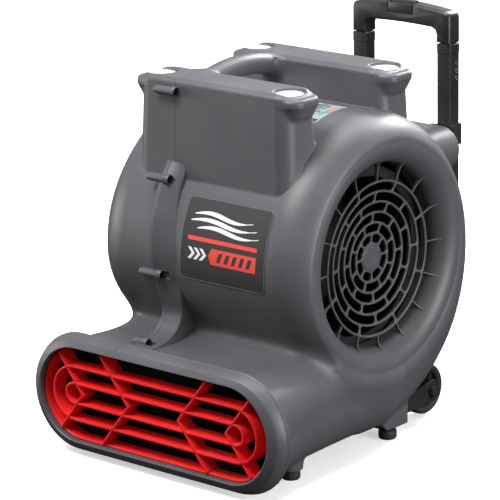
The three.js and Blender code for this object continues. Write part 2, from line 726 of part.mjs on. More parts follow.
function fanWheel() {
  const blades = 20;
  const pieces = [
    ring(WHEEL_OUT, WHEEL_IN, [-FAN_HALF, -FAN_HALF + 3]),
    ring(WHEEL_OUT, WHEEL_IN, [FAN_HALF - 3, FAN_HALF]),
    ring(WHEEL_OUT, 20 + GAP, [BACKPLATE_X, BACKPLATE_X + 3]),
  ];
  for (let i = 0; i < blades; i += 1) {
    const geometry = new THREE.BoxGeometry(2 * FAN_HALF - 2, 12, 2);
    geometry.rotateX(THREE.MathUtils.degToRad(28));
    geometry.translate(0, (WHEEL_OUT + WHEEL_IN) / 2, 0);
    geometry.rotateX(i * 2 * Math.PI / blades);
    pieces.push(solidOf(geometry.translate(0, FAN_Y, FAN_Z)));
  }
  return joined(pieces);
}

function fanHub() {
  const bore = SHAFT_RADIUS;
  return turnedX([[bore + GAP, BACKPLATE_X - 5], [26, BACKPLATE_X - 5], [26, BACKPLATE_X - GAP],
    [20, BACKPLATE_X - GAP], [20, BACKPLATE_X + 4], [14, BACKPLATE_X + 4], [14, BACKPLATE_X + 22],
    [bore + GAP, BACKPLATE_X + 22], [bore + GAP, BACKPLATE_X - 5]], FAN_Y, FAN_Z, 14);
}

const MOTOR = { left: -100, right: -14, radius: 62 };
const BRACKET_X = [-130.5, -126.5];

function motorBell(inward, outward, nose) {
  const bearing = 16;
  const side = Math.sign(outward - inward);
  return turnedX([[MOTOR.radius, inward], [MOTOR.radius, inward + 5 * side], [nose, outward],
    [SHAFT_RADIUS + GAP, outward], [SHAFT_RADIUS + GAP, outward - 3 * side],
    [bearing, outward - 3 * side], [bearing, inward], [MOTOR.radius, inward]], FAN_Y, FAN_Z, 18);
}

function motorBearing(outward, side) {
  return ring(16 - GAP, SHAFT_RADIUS + GAP, [outward - 4 * side, outward - 11 * side].sort((a, b) => a - b), 16);
}

function motorBracket() {
  const plate = ring(42, SHAFT_RADIUS + 4, BRACKET_X);
  const pieces = [plate];
  for (let i = 0; i < 4; i += 1) {
    const angle = (i + 0.5) * 90;
    const arm = box(BRACKET_X, [30, 127], [-8, 8]);
    const foot = box([-142.6, BRACKET_X[1]], [122.5, 127], [-8, 8]);
    const both = arm.add(foot).rotate([angle, 0, 0]);
    pieces.push(both.translate([0, FAN_Y, FAN_Z]));
  }
  return joined(pieces);
}

const fanAxis = (x) => [x, FAN_Y, FAN_Z];
const BELL_LEFT = BRACKET_X[1] + GAP;
const BELL_RIGHT = 0;
add('fan_wheel', fanWheel(), blackPlastic);
add('fan_hub', fanHub(), steel);
add('motor_shaft', cylinder(SHAFT_RADIUS, fanAxis(-124), fanAxis(BACKPLATE_X + 26), 16), steel);
add('motor_case', ring(MOTOR.radius, MOTOR.radius - 2, [MOTOR.left, MOTOR.right]), motorPaint);
add('motor_end_bell_left', motorBell(MOTOR.left - GAP, BELL_LEFT, 40), motorPaint);
add('motor_end_bell_right', motorBell(MOTOR.right + GAP, BELL_RIGHT, 30), motorPaint);
add('bearing_left', motorBearing(BELL_LEFT, -1), steel);
add('bearing_right', motorBearing(BELL_RIGHT, 1), steel);
add('motor_stator', ring(MOTOR.radius - 2 - GAP, 38, [MOTOR.left + 16, MOTOR.right - 16]), laminations);
add('motor_rotor', ring(37, SHAFT_RADIUS + GAP, [MOTOR.left + 14, MOTOR.right - 14], 20), laminations);
add('motor_bracket', motorBracket(), paintedSteel);
add('run_capacitor', cylinder(17, [-95, FAN_Y, FAN_Z + 80], [-35, FAN_Y, FAN_Z + 80], 16), blackPlastic);

// ---- Control panel on the rear ----
const PANEL_FACE = PANEL.front - 1;
const PANEL_BACK = PANEL_FACE - 2.5;
const KNOB = { x: -17, z: 250 };
const RESET = { x: 26, z: 258 };
const SOCKET = { x: 20, z: 222 };
const GLAND = { x: -19, z: 211 };

function controlPanel() {
  const face = slabY(roundedRect(PANEL.x, PANEL.z, PANEL.halfX - GAP, PANEL.halfZ - GAP, 5.5, 2),
    [PANEL_BACK, PANEL_FACE]);
  const hole = (radius, { x, z }) => cylinder(radius, [x, PANEL_BACK - 5, z], [x, PANEL_FACE + 5, z]);
  const socketHole = box([SOCKET.x - 14.3, SOCKET.x + 14.3], [PANEL_BACK - 5, PANEL_FACE + 5],
    [SOCKET.z - 11.3, SOCKET.z + 11.3]);
  return face.subtract(hole(4, KNOB)).subtract(hole(4.5, RESET)).subtract(hole(6.3, GLAND))
    .subtract(socketHole);
}

function speedKnob() {
  const face = PANEL_FACE + GAP;
  const dial = cylinder(15, [KNOB.x, face, KNOB.z], [KNOB.x, face + 4, KNOB.z], 20);
  const bar = box([KNOB.x - 4, KNOB.x + 4], [face + 2, face + 13], [KNOB.z - 13.5, KNOB.z + 13.5]);
  const stem = cylinder(3.6, [KNOB.x, PANEL_BACK - 4, KNOB.z], [KNOB.x, face + 2, KNOB.z], 12);
  return joined([dial, bar, stem]);
}

function speedSwitch() {
  const front = PANEL_BACK - GAP;
  const body = box([KNOB.x - 13, KNOB.x + 13], [PANEL.back + 1, front], [KNOB.z - 13, KNOB.z + 13]);
  return body.subtract(cylinder(4, [KNOB.x, front - 5, KNOB.z], [KNOB.x, front + 5, KNOB.z], 12));
}

function resetButton() {
  const cap = cylinder(4.2, [RESET.x, PANEL_BACK - 2, RESET.z], [RESET.x, PANEL_FACE + 5, RESET.z], 14);
  const flange = cylinder(6, [RESET.x, PANEL_BACK - 3, RESET.z], [RESET.x, PANEL_BACK - GAP, RESET.z], 14);
  return cap.add(flange);
}

function breakerBody() {
  return box([RESET.x - 8, RESET.x + 8], [PANEL.back + 1, PANEL_BACK - 7], [RESET.z - 9, RESET.z + 9]);
}

function outletSocket() {
  const face = PANEL_FACE + GAP;
  const plate = box([SOCKET.x - 17, SOCKET.x + 17], [face, face + 2.5], [SOCKET.z - 13.5, SOCKET.z + 13.5]);
  const core = box([SOCKET.x - 14, SOCKET.x + 14], [PANEL.back + 3, face + 1], [SOCKET.z - 11, SOCKET.z + 11]);
  const slots = [[-6, 5], [6, 5]].map(([dx, half]) =>
    box([SOCKET.x + dx - 1, SOCKET.x + dx + 1], [face - 10, face + 9], [SOCKET.z - half + 3, SOCKET.z + half + 3]));
  const earth = cylinder(2.6, [SOCKET.x, face - 10, SOCKET.z - 7], [SOCKET.x, face + 9, SOCKET.z - 7], 12);
  return plate.add(core).subtract(joined([...slots, earth]));
}

function cordGland() {
  const face = PANEL_FACE + GAP;
  const at = (y) => [GLAND.x, y, GLAND.z];
  const collar = cylinder(10, at(face), at(face + 5), 6);
  const nose = cylinder(7.5, at(face + 4), at(face + 14), 16);
  const thread = cylinder(6, at(PANEL_BACK - 8), at(face + 1), 16);
  return joined([collar, nose, thread]).subtract(cylinder(4, at(PANEL_BACK - 20), at(face + 30), 12));
}

add('control_panel', controlPanel(), blackPlastic);
add('speed_knob', speedKnob(), blackPlastic);
add('speed_switch', speedSwitch(), blackPlastic);
add('reset_button', resetButton(), redPlastic);
add('breaker_body', breakerBody(), blackPlastic);
add('outlet_socket', outletSocket(), blackPlastic);
add('cord_gland', cordGland(), blackPlastic);

export default airMover;
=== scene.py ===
"""Looks for the trolley air mover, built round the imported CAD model.

Lengths are in millimetres until a mesh, light or camera is made, and in metres from there on.
"""

import json
import math

import bmesh
import bpy
import numpy as np
from mathutils import Matrix, Vector


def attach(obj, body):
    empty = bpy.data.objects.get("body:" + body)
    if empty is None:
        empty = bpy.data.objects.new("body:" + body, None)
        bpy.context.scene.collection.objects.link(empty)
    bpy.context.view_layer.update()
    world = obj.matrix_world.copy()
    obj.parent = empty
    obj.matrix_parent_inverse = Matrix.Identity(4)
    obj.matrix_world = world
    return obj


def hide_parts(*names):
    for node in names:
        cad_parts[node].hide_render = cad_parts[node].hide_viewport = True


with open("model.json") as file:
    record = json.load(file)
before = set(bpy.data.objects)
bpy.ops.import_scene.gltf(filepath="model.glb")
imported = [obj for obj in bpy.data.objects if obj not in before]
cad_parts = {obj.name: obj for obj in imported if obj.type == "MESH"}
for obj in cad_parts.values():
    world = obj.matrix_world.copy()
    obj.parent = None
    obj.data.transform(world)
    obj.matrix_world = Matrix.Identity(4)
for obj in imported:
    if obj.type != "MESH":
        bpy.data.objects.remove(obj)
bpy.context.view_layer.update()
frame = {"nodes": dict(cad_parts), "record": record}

MM = 0.001

# ---- Sizes shared with the CAD part ----
SEAM_X = -59.0
SEAM_GAP = 0.2

DRUM_Y, DRUM_Z = -13.0, 247.5
SCROLL_DEGREES = np.arange(-135.0, 225.0, 45.0)
SCROLL_RADII = np.array([146.0, 231.0, 221.0, 201.0, 195.0, 187.5, 170.5, 166.5])
DRUM_HALF = 174.5
SIDE_ROUND = 53.5

FAN_Y, FAN_Z = 3.0, 248.0
INLET_Y, INLET_Z = -1.0, 250.5
INLET_RADIUS = 118.5
THROAT_RISE = 4.0
CREST_RADIUS = 136.0
THROAT_END = 129.0
FLARE_FROM, FLARE_ROUND = 142.0, 29.0
GRILLE_OUT = 157.0
GRILLE_THICK = 4.0
GRILLE_DISH = 15.0

DUCT_Y = np.array([-262.0, -246.0, -215.0, -180.0, -140.0, -20.0, 20.0])
DUCT_HALF_W = np.array([196.0, 194.5, 190.0, 182.0, 176.0, 170.0, 170.0])
DUCT_TOP = np.array([149.0, 149.0, 149.0, 150.0, 154.0, 156.0, 156.0])
DUCT_LOW = 17.0
DUCT_ROUND = 58.0
DUCT_END = -238.0

OUTLET_HALF_W, OUTLET_HALF_H, OUTLET_Z = 188.7, 61.5, 83.0
RIM_HALF_W, RIM_HALF_H, RIM_Z = 210.0, 78.0, 82.0

BLOCK_TOP = 480.0
BLOCK_HALF_X = 121.4
FRONT_BLOCK = (-141.0, -79.6)
REAR_BLOCK = (44.7, 107.0)
BLOCK_CORNER = 20.0
DRAFT = math.tan(math.radians(2))
POCKET_X = 105.0
POCKET_FRONT_Y, POCKET_REAR_Y = -113.0, 75.0
POCKET_DEPTH = 3.2

BAR_MIDDLE_Y = -16.0
LOBE_Z = 337.0
FOOT_X, FRONT_FOOT_Y, REAR_FOOT_Y = 138.0, -160.0, 35.0

TUBE_X, TUBE_Y = 70.5, 254.0
PANEL_X, PANEL_Z, PANEL_HALF, PANEL_FRONT = 2.0, 236.0, 40.0, 226.0
WHEEL_X, WHEEL_Y, WHEEL_Z = 114.0, 137.0, 37.0

# ---- Mesh detail ----
VOXEL = 2.25
WALL = 4.0


# ---- Distance fields: negative inside, for points in rows of x, y, z ----
def smooth_min(a, b, blend):
    share = np.clip(0.5 + 0.5 * (b - a) / blend, 0, 1)
    return b * (1 - share) + a * share - blend * share * (1 - share)


def smooth_max(a, b, blend):
    return -smooth_min(-a, -b, blend)


def monotone_curve(xs, ys, period=None):
    """A smooth curve through the points that never overshoots them, as a dense table for np.interp."""
    if period:
        xs = np.concatenate([xs - period, xs, xs + period])
        ys = np.tile(ys, 3)
    steps = np.diff(xs)
    secants = np.diff(ys) / steps
    slopes = np.zeros(len(xs))
    same = secants[:-1] * secants[1:] > 0
    inner = np.zeros(len(xs) - 2)
    inner[same] = 2 / (1 / secants[:-1][same] + 1 / secants[1:][same])
    slopes[1:-1] = inner
    table_x = []
    table_y = []
    for i in range(len(steps)):
        t = np.linspace(0, 1, 24, endpoint=False)
        square, cube = t**2, t**3
        table_x.append(xs[i] + t * steps[i])
        table_y.append(
            ys[i] * (2 * cube - 3 * square + 1)
            + ys[i + 1] * (3 * square - 2 * cube)
            + slopes[i] * steps[i] * (cube - 2 * square + t)
            + slopes[i + 1] * steps[i] * (cube - square)
        )
    return np.concatenate(table_x + [xs[-1:]]), np.concatenate(table_y + [ys[-1:]])


SCROLL_TABLE = monotone_curve(SCROLL_DEGREES, SCROLL_RADII, period=360)


def scroll_radius(degrees):
    return np.interp((np.asarray(degrees) + 135.0) % 360 - 135.0, *SCROLL_TABLE)


def scroll_point(degrees, offset=0.0):
    """Point (y, z) on the scroll outline, 0 degrees at the rear and 90 at the top."""
    radius = scroll_radius(degrees) + offset
    angle = np.radians(degrees)
    return DRUM_Y + radius * np.cos(angle), DRUM_Z + radius * np.sin(angle)


def scroll_seen_from_fan():
    y, z = scroll_point(np.linspace(-180, 180, 1440, endpoint=False))
    angle = np.degrees(np.arctan2(z - FAN_Z, y - FAN_Y))
    order = np.argsort(angle)
    radius = np.hypot(y - FAN_Y, z - FAN_Z)[order]
    angle = angle[order]
    return np.concatenate([angle - 360, angle, angle + 360]), np.tile(radius, 3)


FAN_TABLE = scroll_seen_from_fan()
DUCT_W_TABLE = monotone_curve(DUCT_Y, DUCT_HALF_W)
DUCT_TOP_TABLE = monotone_curve(DUCT_Y, DUCT_TOP)


def rounded_box_2d(u, v, half_u, half_v, radius):
    qu = np.abs(u) - (half_u - radius)
    qv = np.abs(v) - (half_v - radius)
    return np.hypot(np.maximum(qu, 0), np.maximum(qv, 0)) + np.minimum(np.maximum(qu, qv), 0) - radius


def slab(flat, height, half, edge):
    """A flat outline given thickness, with rounded edges."""
    a = flat + edge
    b = np.abs(height) - (half - edge)
    return np.hypot(np.maximum(a, 0), np.maximum(b, 0)) + np.minimum(np.maximum(a, b), 0) - edge


def drum_field(x, y, z):
    side = np.abs(x)
    rho = np.hypot(y - FAN_Y, z - FAN_Z)
    angle = np.degrees(np.arctan2(z - FAN_Z, y - FAN_Y))
    spread = np.interp(angle, *FAN_TABLE) - CREST_RADIUS
    u = np.maximum(rho - CREST_RADIUS, 0) / spread
    w = np.maximum(side - (DRUM_HALF - SIDE_ROUND), 0) / SIDE_ROUND
    reach = np.hypot(u, w)
    slope = np.hypot(u / spread, w / SIDE_ROUND) / np.maximum(reach, 1e-6)
    corner = (reach - 1) / np.maximum(slope, 1e-6)
    plain = np.maximum(rho - CREST_RADIUS - spread, side - DRUM_HALF)
    return np.where(reach > 0.3, corner, plain)


def duct_field(x, y, z):
    half_w = np.interp(y, *DUCT_W_TABLE)
    top = np.interp(y, *DUCT_TOP_TABLE)
    middle = (top + DUCT_LOW) / 2
    half_h = (top - DUCT_LOW) / 2
    section = rounded_box_2d(x, z - middle, half_w, half_h, DUCT_ROUND)
    return np.maximum(section, y - 20.0)


def block_field(x, y, z, ends):
    grow = (BLOCK_TOP - z) * DRAFT
    middle = (ends[0] + ends[1]) / 2
    half_y = (ends[1] - ends[0]) / 2
    plan = rounded_box_2d(x, y - middle, BLOCK_HALF_X + grow, half_y + grow, BLOCK_CORNER)
    top = z - BLOCK_TOP
    chamfer = (plan + top + 5.0) / math.sqrt(2)
    whole = smooth_max(smooth_max(plan, top, 1.2), chamfer, 1.2)
    lip_plan = rounded_box_2d(np.abs(x) - 112.0, y - middle, 23.0, half_y - 3.0, 18.0)
    lip_plan = lip_plan + np.clip(464.0 - z, 0.0, 24.0) * 0.5
    lips = slab(lip_plan, z - 460.0, 14.0, 5.0)
    whole = smooth_min(whole, lips, 5.0)
    return np.maximum(whole, 320.0 - z)


def pocket_field(x, y, z):
    offset_y = np.where(y < -20, y - POCKET_FRONT_Y, y - POCKET_REAR_Y)
    plan = np.hypot(np.abs(x) - POCKET_X, offset_y) - 20.0
    return smooth_max(plan, (BLOCK_TOP - POCKET_DEPTH) - z, 1.5)


def bar_field(x, y, z):
    along = np.clip((y - BAR_MIDDLE_Y) / 66.0, -1.4, 1.4)
    middle = 476.5 - 9.5 * along**2
    half_z = np.where(z > middle, 12.0, 16.0)
    ring = np.hypot((x - SEAM_X) / 14.0, (z - middle) / half_z)
    return np.maximum((ring - 1) * 13.0, np.abs(y - BAR_MIDDLE_Y) - 76.0)


def lobe_field(x, y, z):
    outline = rounded_box_2d(x, z - LOBE_Z, 102.0, 30.0, 29.9)
    return np.maximum(slab(outline, y - 90.0, 151.5, 7.0), 90.0 - y)


def boss_field(x, y, z):
    """Control boss, wheel blocks, handle posts and foot bosses."""
    grow = np.interp(y, [160.0, PANEL_FRONT], [14.0, 6.0])
    panel = rounded_box_2d(x - PANEL_X, z - PANEL_Z, PANEL_HALF + grow, PANEL_HALF + grow, 12.0)
    panel = slab(panel, y - 160.0, 66.0, 3.0)
    pocket = rounded_box_2d(x - PANEL_X, z - PANEL_Z, PANEL_HALF, PANEL_HALF, 6.0)
    panel = smooth_max(panel, -np.maximum(pocket, 201.0 - y), 1.5)
    side = np.abs(x)
    base = 12.6 + np.maximum((26.0 - y) * 0.9, 0)
    block = rounded_box_2d(side - 124.0, y - 43.0, 22.0, 27.0, 4.0)
    block = smooth_max(np.maximum(block, z - 62.0), base - z, 3.0)
    post = rounded_box_2d(side - TUBE_X, z - 150.0, 9.0, 12.0, 2.5)
    post = np.maximum(post, np.abs(y - 195.0) - 46.5)
    from_foot = np.hypot(side - FOOT_X, y - FRONT_FOOT_Y)
    front_foot = np.maximum(from_foot - 15.0 - (z - 12.6) * 0.12, 12.6 - z)
    feet = np.maximum(front_foot, z - 40.0)
    return panel, block, post, feet


def inlet_field(x, y, z):
    """The funnel cut into each side down to the inlet."""
    side = np.abs(x)
    rho = np.hypot(y - INLET_Y, z - INLET_Z - THROAT_RISE)
    inward = INLET_RADIUS + FLARE_ROUND - rho
    outward = side - FLARE_FROM
    apart = np.hypot(np.maximum(inward, 0), np.maximum(outward, 0))
    apart = apart + np.minimum(np.maximum(inward, outward), 0)
    beyond = 0.5 * np.maximum(-inward, 0)
    return np.maximum(FLARE_ROUND - apart + beyond, THROAT_END - 4.0 - side)


def housing_field(p):
    x, y, z = p[:, 0], p[:, 1], p[:, 2]
    neck = 5.0 + 27.0 * np.clip((z - 60.0) / 75.0, 0, 1)
    skin = smooth_min(drum_field(x, y, z), duct_field(x, y, z), neck)
    blocks = np.minimum(block_field(x, y, z, FRONT_BLOCK), block_field(x, y, z, REAR_BLOCK))
    blocks = smooth_min(blocks, bar_field(x, y, z), 14.0)
    blocks = smooth_max(blocks, -pocket_field(x, y, z), 1.5)
    skin = smooth_min(skin, blocks, 1.0)
    skin = smooth_min(skin, lobe_field(x, y, z), 16.0)
    panel, block, post, feet = boss_field(x, y, z)
    skin = smooth_min(skin, panel, 5.0)
    skin = smooth_min(skin, np.minimum(block, feet), 4.0)
    skin = smooth_min(skin, post, 4.0)
    return smooth_max(skin, -inlet_field(x, y, z), 7.0)


# ---- Surface of a field ----
CORNERS = np.array([(i, j, k) for i in (0, 1) for j in (0, 1) for k in (0, 1)])
EDGES = [(a, b) for a in range(8) for b in range(a + 1, 8) if np.abs(CORNERS[a] - CORNERS[b]).sum() == 1]


def field_gradient(field, p, reach=0.25):
    gradient = np.empty_like(p)
    for axis in range(3):
        step = np.zeros(3)
        step[axis] = reach
        gradient[:, axis] = (field(p + step) - field(p - step)) / (2 * reach)
    return gradient


def surface_net(field, low, high, step):
    """Vertices and quads of the field's zero surface inside a box. It stays open where the box cuts it."""
    low = np.asarray(low, float)
    counts = np.ceil((np.asarray(high, float) - low) / step).astype(int) + 1
    axes = [low[i] + step * np.arange(counts[i]) for i in range(3)]
    values = np.empty(counts, np.float32)
    plane = np.stack(np.meshgrid(axes[1], axes[2], indexing="ij"), -1).reshape(-1, 2)
    for start in range(0, counts[0], 8):
        xs = axes[0][start : start + 8]
        points = np.empty((len(xs) * len(plane), 3))
        points[:, 0] = np.repeat(xs, len(plane))
        points[:, 1:] = np.tile(plane, (len(xs), 1))
        values[start : start + len(xs)] = field(points).reshape(len(xs), counts[1], counts[2])
    inside = values < 0
    cells = np.zeros(counts - 1, np.int8)
    for i, j, k in CORNERS:
        cells += inside[i : counts[0] - 1 + i, j : counts[1] - 1 + j, k : counts[2] - 1 + k]
    active = np.argwhere((cells > 0) & (cells < 8))
    index = np.full(counts - 1, -1)
    index[tuple(active.T)] = np.arange(len(active))
    corner_values = np.stack([values[tuple((active + c).T)] for c in CORNERS], 1)
    total = np.zeros((len(active), 3))
    hits = np.zeros(len(active))
    for a, b in EDGES:
        va, vb = corner_values[:, a], corner_values[:, b]
        crossed = (va < 0) != (vb < 0)
        share = np.where(crossed, va / np.where(crossed, va - vb, 1), 0)
        place = CORNERS[a] + share[:, None] * (CORNERS[b] - CORNERS[a])
        total[crossed] += place[crossed]
        hits += crossed
    points = low + step * (active + total / hits[:, None])
    quads = []
    for axis in range(3):
        u, v = (axis + 1) % 3, (axis + 2) % 3
        ahead = np.roll(inside, -1, axis)
        cut = [slice(1, -1)] * 3
        cut[axis] = slice(0, -1)
        turned = inside[tuple(cut)] != ahead[tuple(cut)]
        spot = np.argwhere(turned)
        spot[:, u] += 1
        spot[:, v] += 1
        ring = []
        for du, dv in ((1, 1), (0, 1), (0, 0), (1, 0)):
            cell = spot.copy()
            cell[:, u] -= du
            cell[:, v] -= dv
            ring.append(index[tuple(cell.T)])
        quad = np.stack(ring, 1)
        outward = inside[tuple(spot.T)]
        quad[~outward] = quad[~outward][:, ::-1]
        quads.append(quad)
    return points, np.concatenate(quads)


def settle(field, points, pinned, step):
    """Moves vertices onto the surface; pinned says which coordinates of a vertex may not move."""
    for _ in range(4):
        gradient = field_gradient(field, points)
        gradient[pinned] = 0
        size = np.maximum((gradient**2).sum(1), 0.05)
        move = -field(points)[:, None] * gradient / size[:, None]
        length = np.linalg.norm(move, axis=1, keepdims=True)
        move *= np.minimum(1, 0.5 * step / np.maximum(length, 1e-9))
        points += move
    normals = field_gradient(field, points)
    normals /= np.maximum(np.linalg.norm(normals, axis=1, keepdims=True), 1e-9)
    return points, normals


def mesh_object(name, points, faces, material, body="housing"):
    """A new piece from points in millimetres. It rides on a body."""
    mesh = bpy.data.meshes.new(name)
    mesh.from_pydata((np.asarray(points, float) * MM).tolist(), [], [list(f) for f in faces])
    mesh.update()
    piece = bpy.data.objects.new(name, mesh)
    bpy.context.scene.collection.objects.link(piece)
    mesh.materials.append(material)
    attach(piece, body)
    return piece


def moulded_shell(name, field, low, high, planes, opening, material, painted_shade_inside):
    """A wall of even thickness under the field's surface. planes lists (axis, value) of the open cuts."""
    points, quads = surface_net(field, low, high, VOXEL)
    pinned = np.zeros(points.shape, bool)
    for axis, value in planes:
        near = np.abs(points[:, axis] - value) < 0.6 * VOXEL
        points[near, axis] = value
        pinned[near, axis] = True
    from_inlet = np.hypot(points[:, 1] - INLET_Y, points[:, 2] - INLET_Z - THROAT_RISE)
    lip = (np.abs(np.abs(points[:, 0]) - THROAT_END) < 0.55 * VOXEL) & (from_inlet < INLET_RADIUS + 4)
    points[lip, 0] = np.sign(points[lip, 0]) * THROAT_END
    pinned[lip, 0] = True
    points, normals = settle(field, points, pinned, VOXEL)
    keep = ~opening(points[quads].mean(1))
    quads = quads[keep]
    used = np.unique(quads)
    renumber = np.full(len(points), -1)
    renumber[used] = np.arange(len(used))
    points, normals, pinned = points[used], normals[used], pinned[used]
    quads = renumber[quads]
    inward = normals.copy()
    inward[pinned] = 0
    inward /= np.maximum(np.linalg.norm(inward, axis=1, keepdims=True), 1e-9)
    inner = points - WALL * inward
    edges = np.concatenate([quads[:, [i, (i + 1) % 4]] for i in range(4)])
    key = np.sort(edges, 1)
    _, first, uses = np.unique(key[:, 0] * len(points) + key[:, 1], return_index=True, return_counts=True)
    border = edges[first[uses == 1]]
    count = len(points)
    rim = np.stack([border[:, 1], border[:, 0], border[:, 0] + count, border[:, 1] + count], 1)
    faces = np.concatenate([quads, quads[:, ::-1] + count, rim])
    both = np.concatenate([points, inner])
    mesh = bpy.data.meshes.new(name)
    mesh.vertices.add(len(both))
    mesh.vertices.foreach_set("co", (both * MM).astype(np.float32).ravel())
    mesh.loops.add(faces.size)
    mesh.loops.foreach_set("vertex_index", faces.ravel().astype(np.int32))
    mesh.polygons.add(len(faces))
    mesh.polygons.foreach_set("loop_start", np.arange(0, faces.size, 4, dtype=np.int32))
    mesh.polygons.foreach_set("use_smooth", np.ones(len(faces), bool))
    # The inner faces take the second material, the painted shade of the housing's dim inside.
    inside = np.zeros(len(faces), np.int32)
    inside[len(quads) : 2 * len(quads)] = 1
    mesh.polygons.foreach_set("material_index", inside)
    mesh.update(calc_edges=True)
    loop_normals = np.concatenate([normals, -normals])[faces.ravel()].reshape(len(faces), 4, 3)
    corner = both[rim]
    flat = np.cross(corner[:, 1] - corner[:, 0], corner[:, 2] - corner[:, 0])
    flat /= np.maximum(np.linalg.norm(flat, axis=1, keepdims=True), 1e-9)
    loop_normals[2 * len(quads) :] = flat[:, None, :]
    mesh.normals_split_custom_set(loop_normals.reshape(-1, 3).tolist())
    piece = bpy.data.objects.new(name, mesh)
    bpy.context.scene.collection.objects.link(piece)
    mesh.materials.append(material)
    mesh.materials.append(painted_shade_inside)
    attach(piece, "housing")
    return piece


# ---- Node materials ----
def new_material(name, color, roughness, metallic=0.0):
    material = bpy.data.materials.new(name)
    material.use_nodes = True
    shader = material.node_tree.nodes["Principled BSDF"]
    shader.inputs["Base Color"].default_value = (*color, 1)
    shader.inputs["Roughness"].default_value = roughness
    shader.inputs["Metallic"].default_value = metallic
    return material


def mottled(name, dark, light, roughness, grain, bump, metallic=0.0, blotch=14.0, coat=0.0):
    """Moulded plastic, rubber or paint: soft colour drift, uneven gloss and a fine surface grain."""
    material = new_material(name, dark, roughness[0], metallic)
    tree = material.node_tree
    nodes, links = tree.nodes, tree.links
    shader = nodes["Principled BSDF"]
    shader.inputs["Coat Weight"].default_value = coat
    place = nodes.new("ShaderNodeTexCoord")
    drift = nodes.new("ShaderNodeTexNoise")
    drift.inputs["Scale"].default_value = blotch
    drift.inputs["Detail"].default_value = 5
    links.new(place.outputs["Object"], drift.inputs["Vector"])
    speck = nodes.new("ShaderNodeTexNoise")
    speck.inputs["Scale"].default_value = grain
    speck.inputs["Detail"].default_value = 3
    links.new(place.outputs["Object"], speck.inputs["Vector"])
    both = nodes.new("ShaderNodeMath")
    both.operation = "MULTIPLY_ADD"
    both.inputs[1].default_value = 0.3
    links.new(speck.outputs["Fac"], both.inputs[0])
    links.new(drift.outputs["Fac"], both.inputs[2])
    ramp = nodes.new("ShaderNodeValToRGB")
    ramp.color_ramp.elements[0].position = 0.45
    ramp.color_ramp.elements[0].color = (*dark, 1)
    ramp.color_ramp.elements[1].position = 0.9
    ramp.color_ramp.elements[1].color = (*light, 1)
    links.new(both.outputs[0], ramp.inputs["Fac"])
    links.new(ramp.outputs["Color"], shader.inputs["Base Color"])
    gloss = nodes.new("ShaderNodeMapRange")
    gloss.inputs["From Min"].default_value = 0.3
    gloss.inputs["From Max"].default_value = 0.7
    gloss.inputs["To Min"].default_value = roughness[0]
    gloss.inputs["To Max"].default_value = roughness[1]
    links.new(drift.outputs["Fac"], gloss.inputs["Value"])
    links.new(gloss.outputs["Result"], shader.inputs["Roughness"])
    relief = nodes.new("ShaderNodeBump")
    relief.inputs["Strength"].default_value = bump
    relief.inputs["Distance"].default_value = 0.0003
    links.new(speck.outputs["Fac"], relief.inputs["Height"])
    links.new(relief.outputs["Normal"], shader.inputs["Normal"])
    return material


GREY = mottled("housing_grey", (0.080, 0.079, 0.088), (0.097, 0.096, 0.105), (0.40, 0.50), 1400, 0.25)
RED = mottled("outlet_red", (0.82, 0.014, 0.016), (0.90, 0.020, 0.022), (0.34, 0.44), 900, 0.1)
BLACK = mottled("black_plastic", (0.012, 0.011, 0.013), (0.020, 0.018, 0.021), (0.35, 0.5), 1200, 0.2)
RUBBER = mottled("rubber", (0.012, 0.011, 0.012), (0.024, 0.022, 0.024), (0.6, 0.8), 700, 0.4)
PAINT = mottled("painted_tube", (0.022, 0.018, 0.021), (0.032, 0.026, 0.030), (0.28, 0.38), 500, 0.08, 0.1)
STEEL = mottled("dark_screw", (0.010, 0.010, 0.011), (0.022, 0.022, 0.024), (0.3, 0.45), 900, 0.1, 0.6)
BRIGHT = mottled("bright_steel", (0.42, 0.43, 0.45), (0.6, 0.6, 0.62), (0.2, 0.35), 800, 0.08, 1.0)
# The motor's black paint, set darker still as painted shade for the dim inside of the housing.
MOTOR_PAINT_AND_SHADE = mottled("motor_paint", (0.006, 0.006, 0.007), (0.012, 0.012, 0.013), (0.4, 0.55), 600, 0.2)
# Inner faces of the housing shells: near black, a painted shade for the dim inside of the grey moulding.
PAINTED_SHADE_INSIDE = mottled("inside_painted_shade", (0.004, 0.004, 0.004), (0.007, 0.007, 0.008), (0.8, 0.95), 300, 0.3)
LABEL = mottled("label_film", (0.022, 0.019, 0.022), (0.028, 0.024, 0.027), (0.55, 0.65), 300, 0.02)
INK_WHITE = mottled("print_white", (0.80, 0.80, 0.80), (0.88, 0.88, 0.88), (0.4, 0.5), 500, 0.03)
INK_RED = mottled("print_red", (0.78, 0.055, 0.035), (0.86, 0.07, 0.045), (0.4, 0.5), 500, 0.03)
PALE = mottled("label_pale", (0.10, 0.17, 0.18), (0.34, 0.42, 0.42), (0.5, 0.6), 120, 0.02, blotch=60)
# Pale discs in the stacking pockets: a painted highlight for the shine of light on the pocket floors.
POCKET_HIGHLIGHT = mottled("painted_pocket_highlight", (0.50, 0.50, 0.52), (0.60, 0.60, 0.62), (0.35, 0.45), 700, 0.1)
INK_ORANGE = mottled("print_orange", (0.80, 0.20, 0.06), (0.86, 0.26, 0.08), (0.4, 0.5), 500, 0.03)


# ---- Housing shells ----
def through_opening(centre):
    """Where the shell stays open: the inlets at the foot of each funnel."""
    rho = np.hypot(centre[:, 1] - INLET_Y, centre[:, 2] - INLET_Z - THROAT_RISE)
    side = np.abs(centre[:, 0])
    return (side < THROAT_END - 0.1) & (rho < INLET_RADIUS + 1.5) & (side > 110.0)


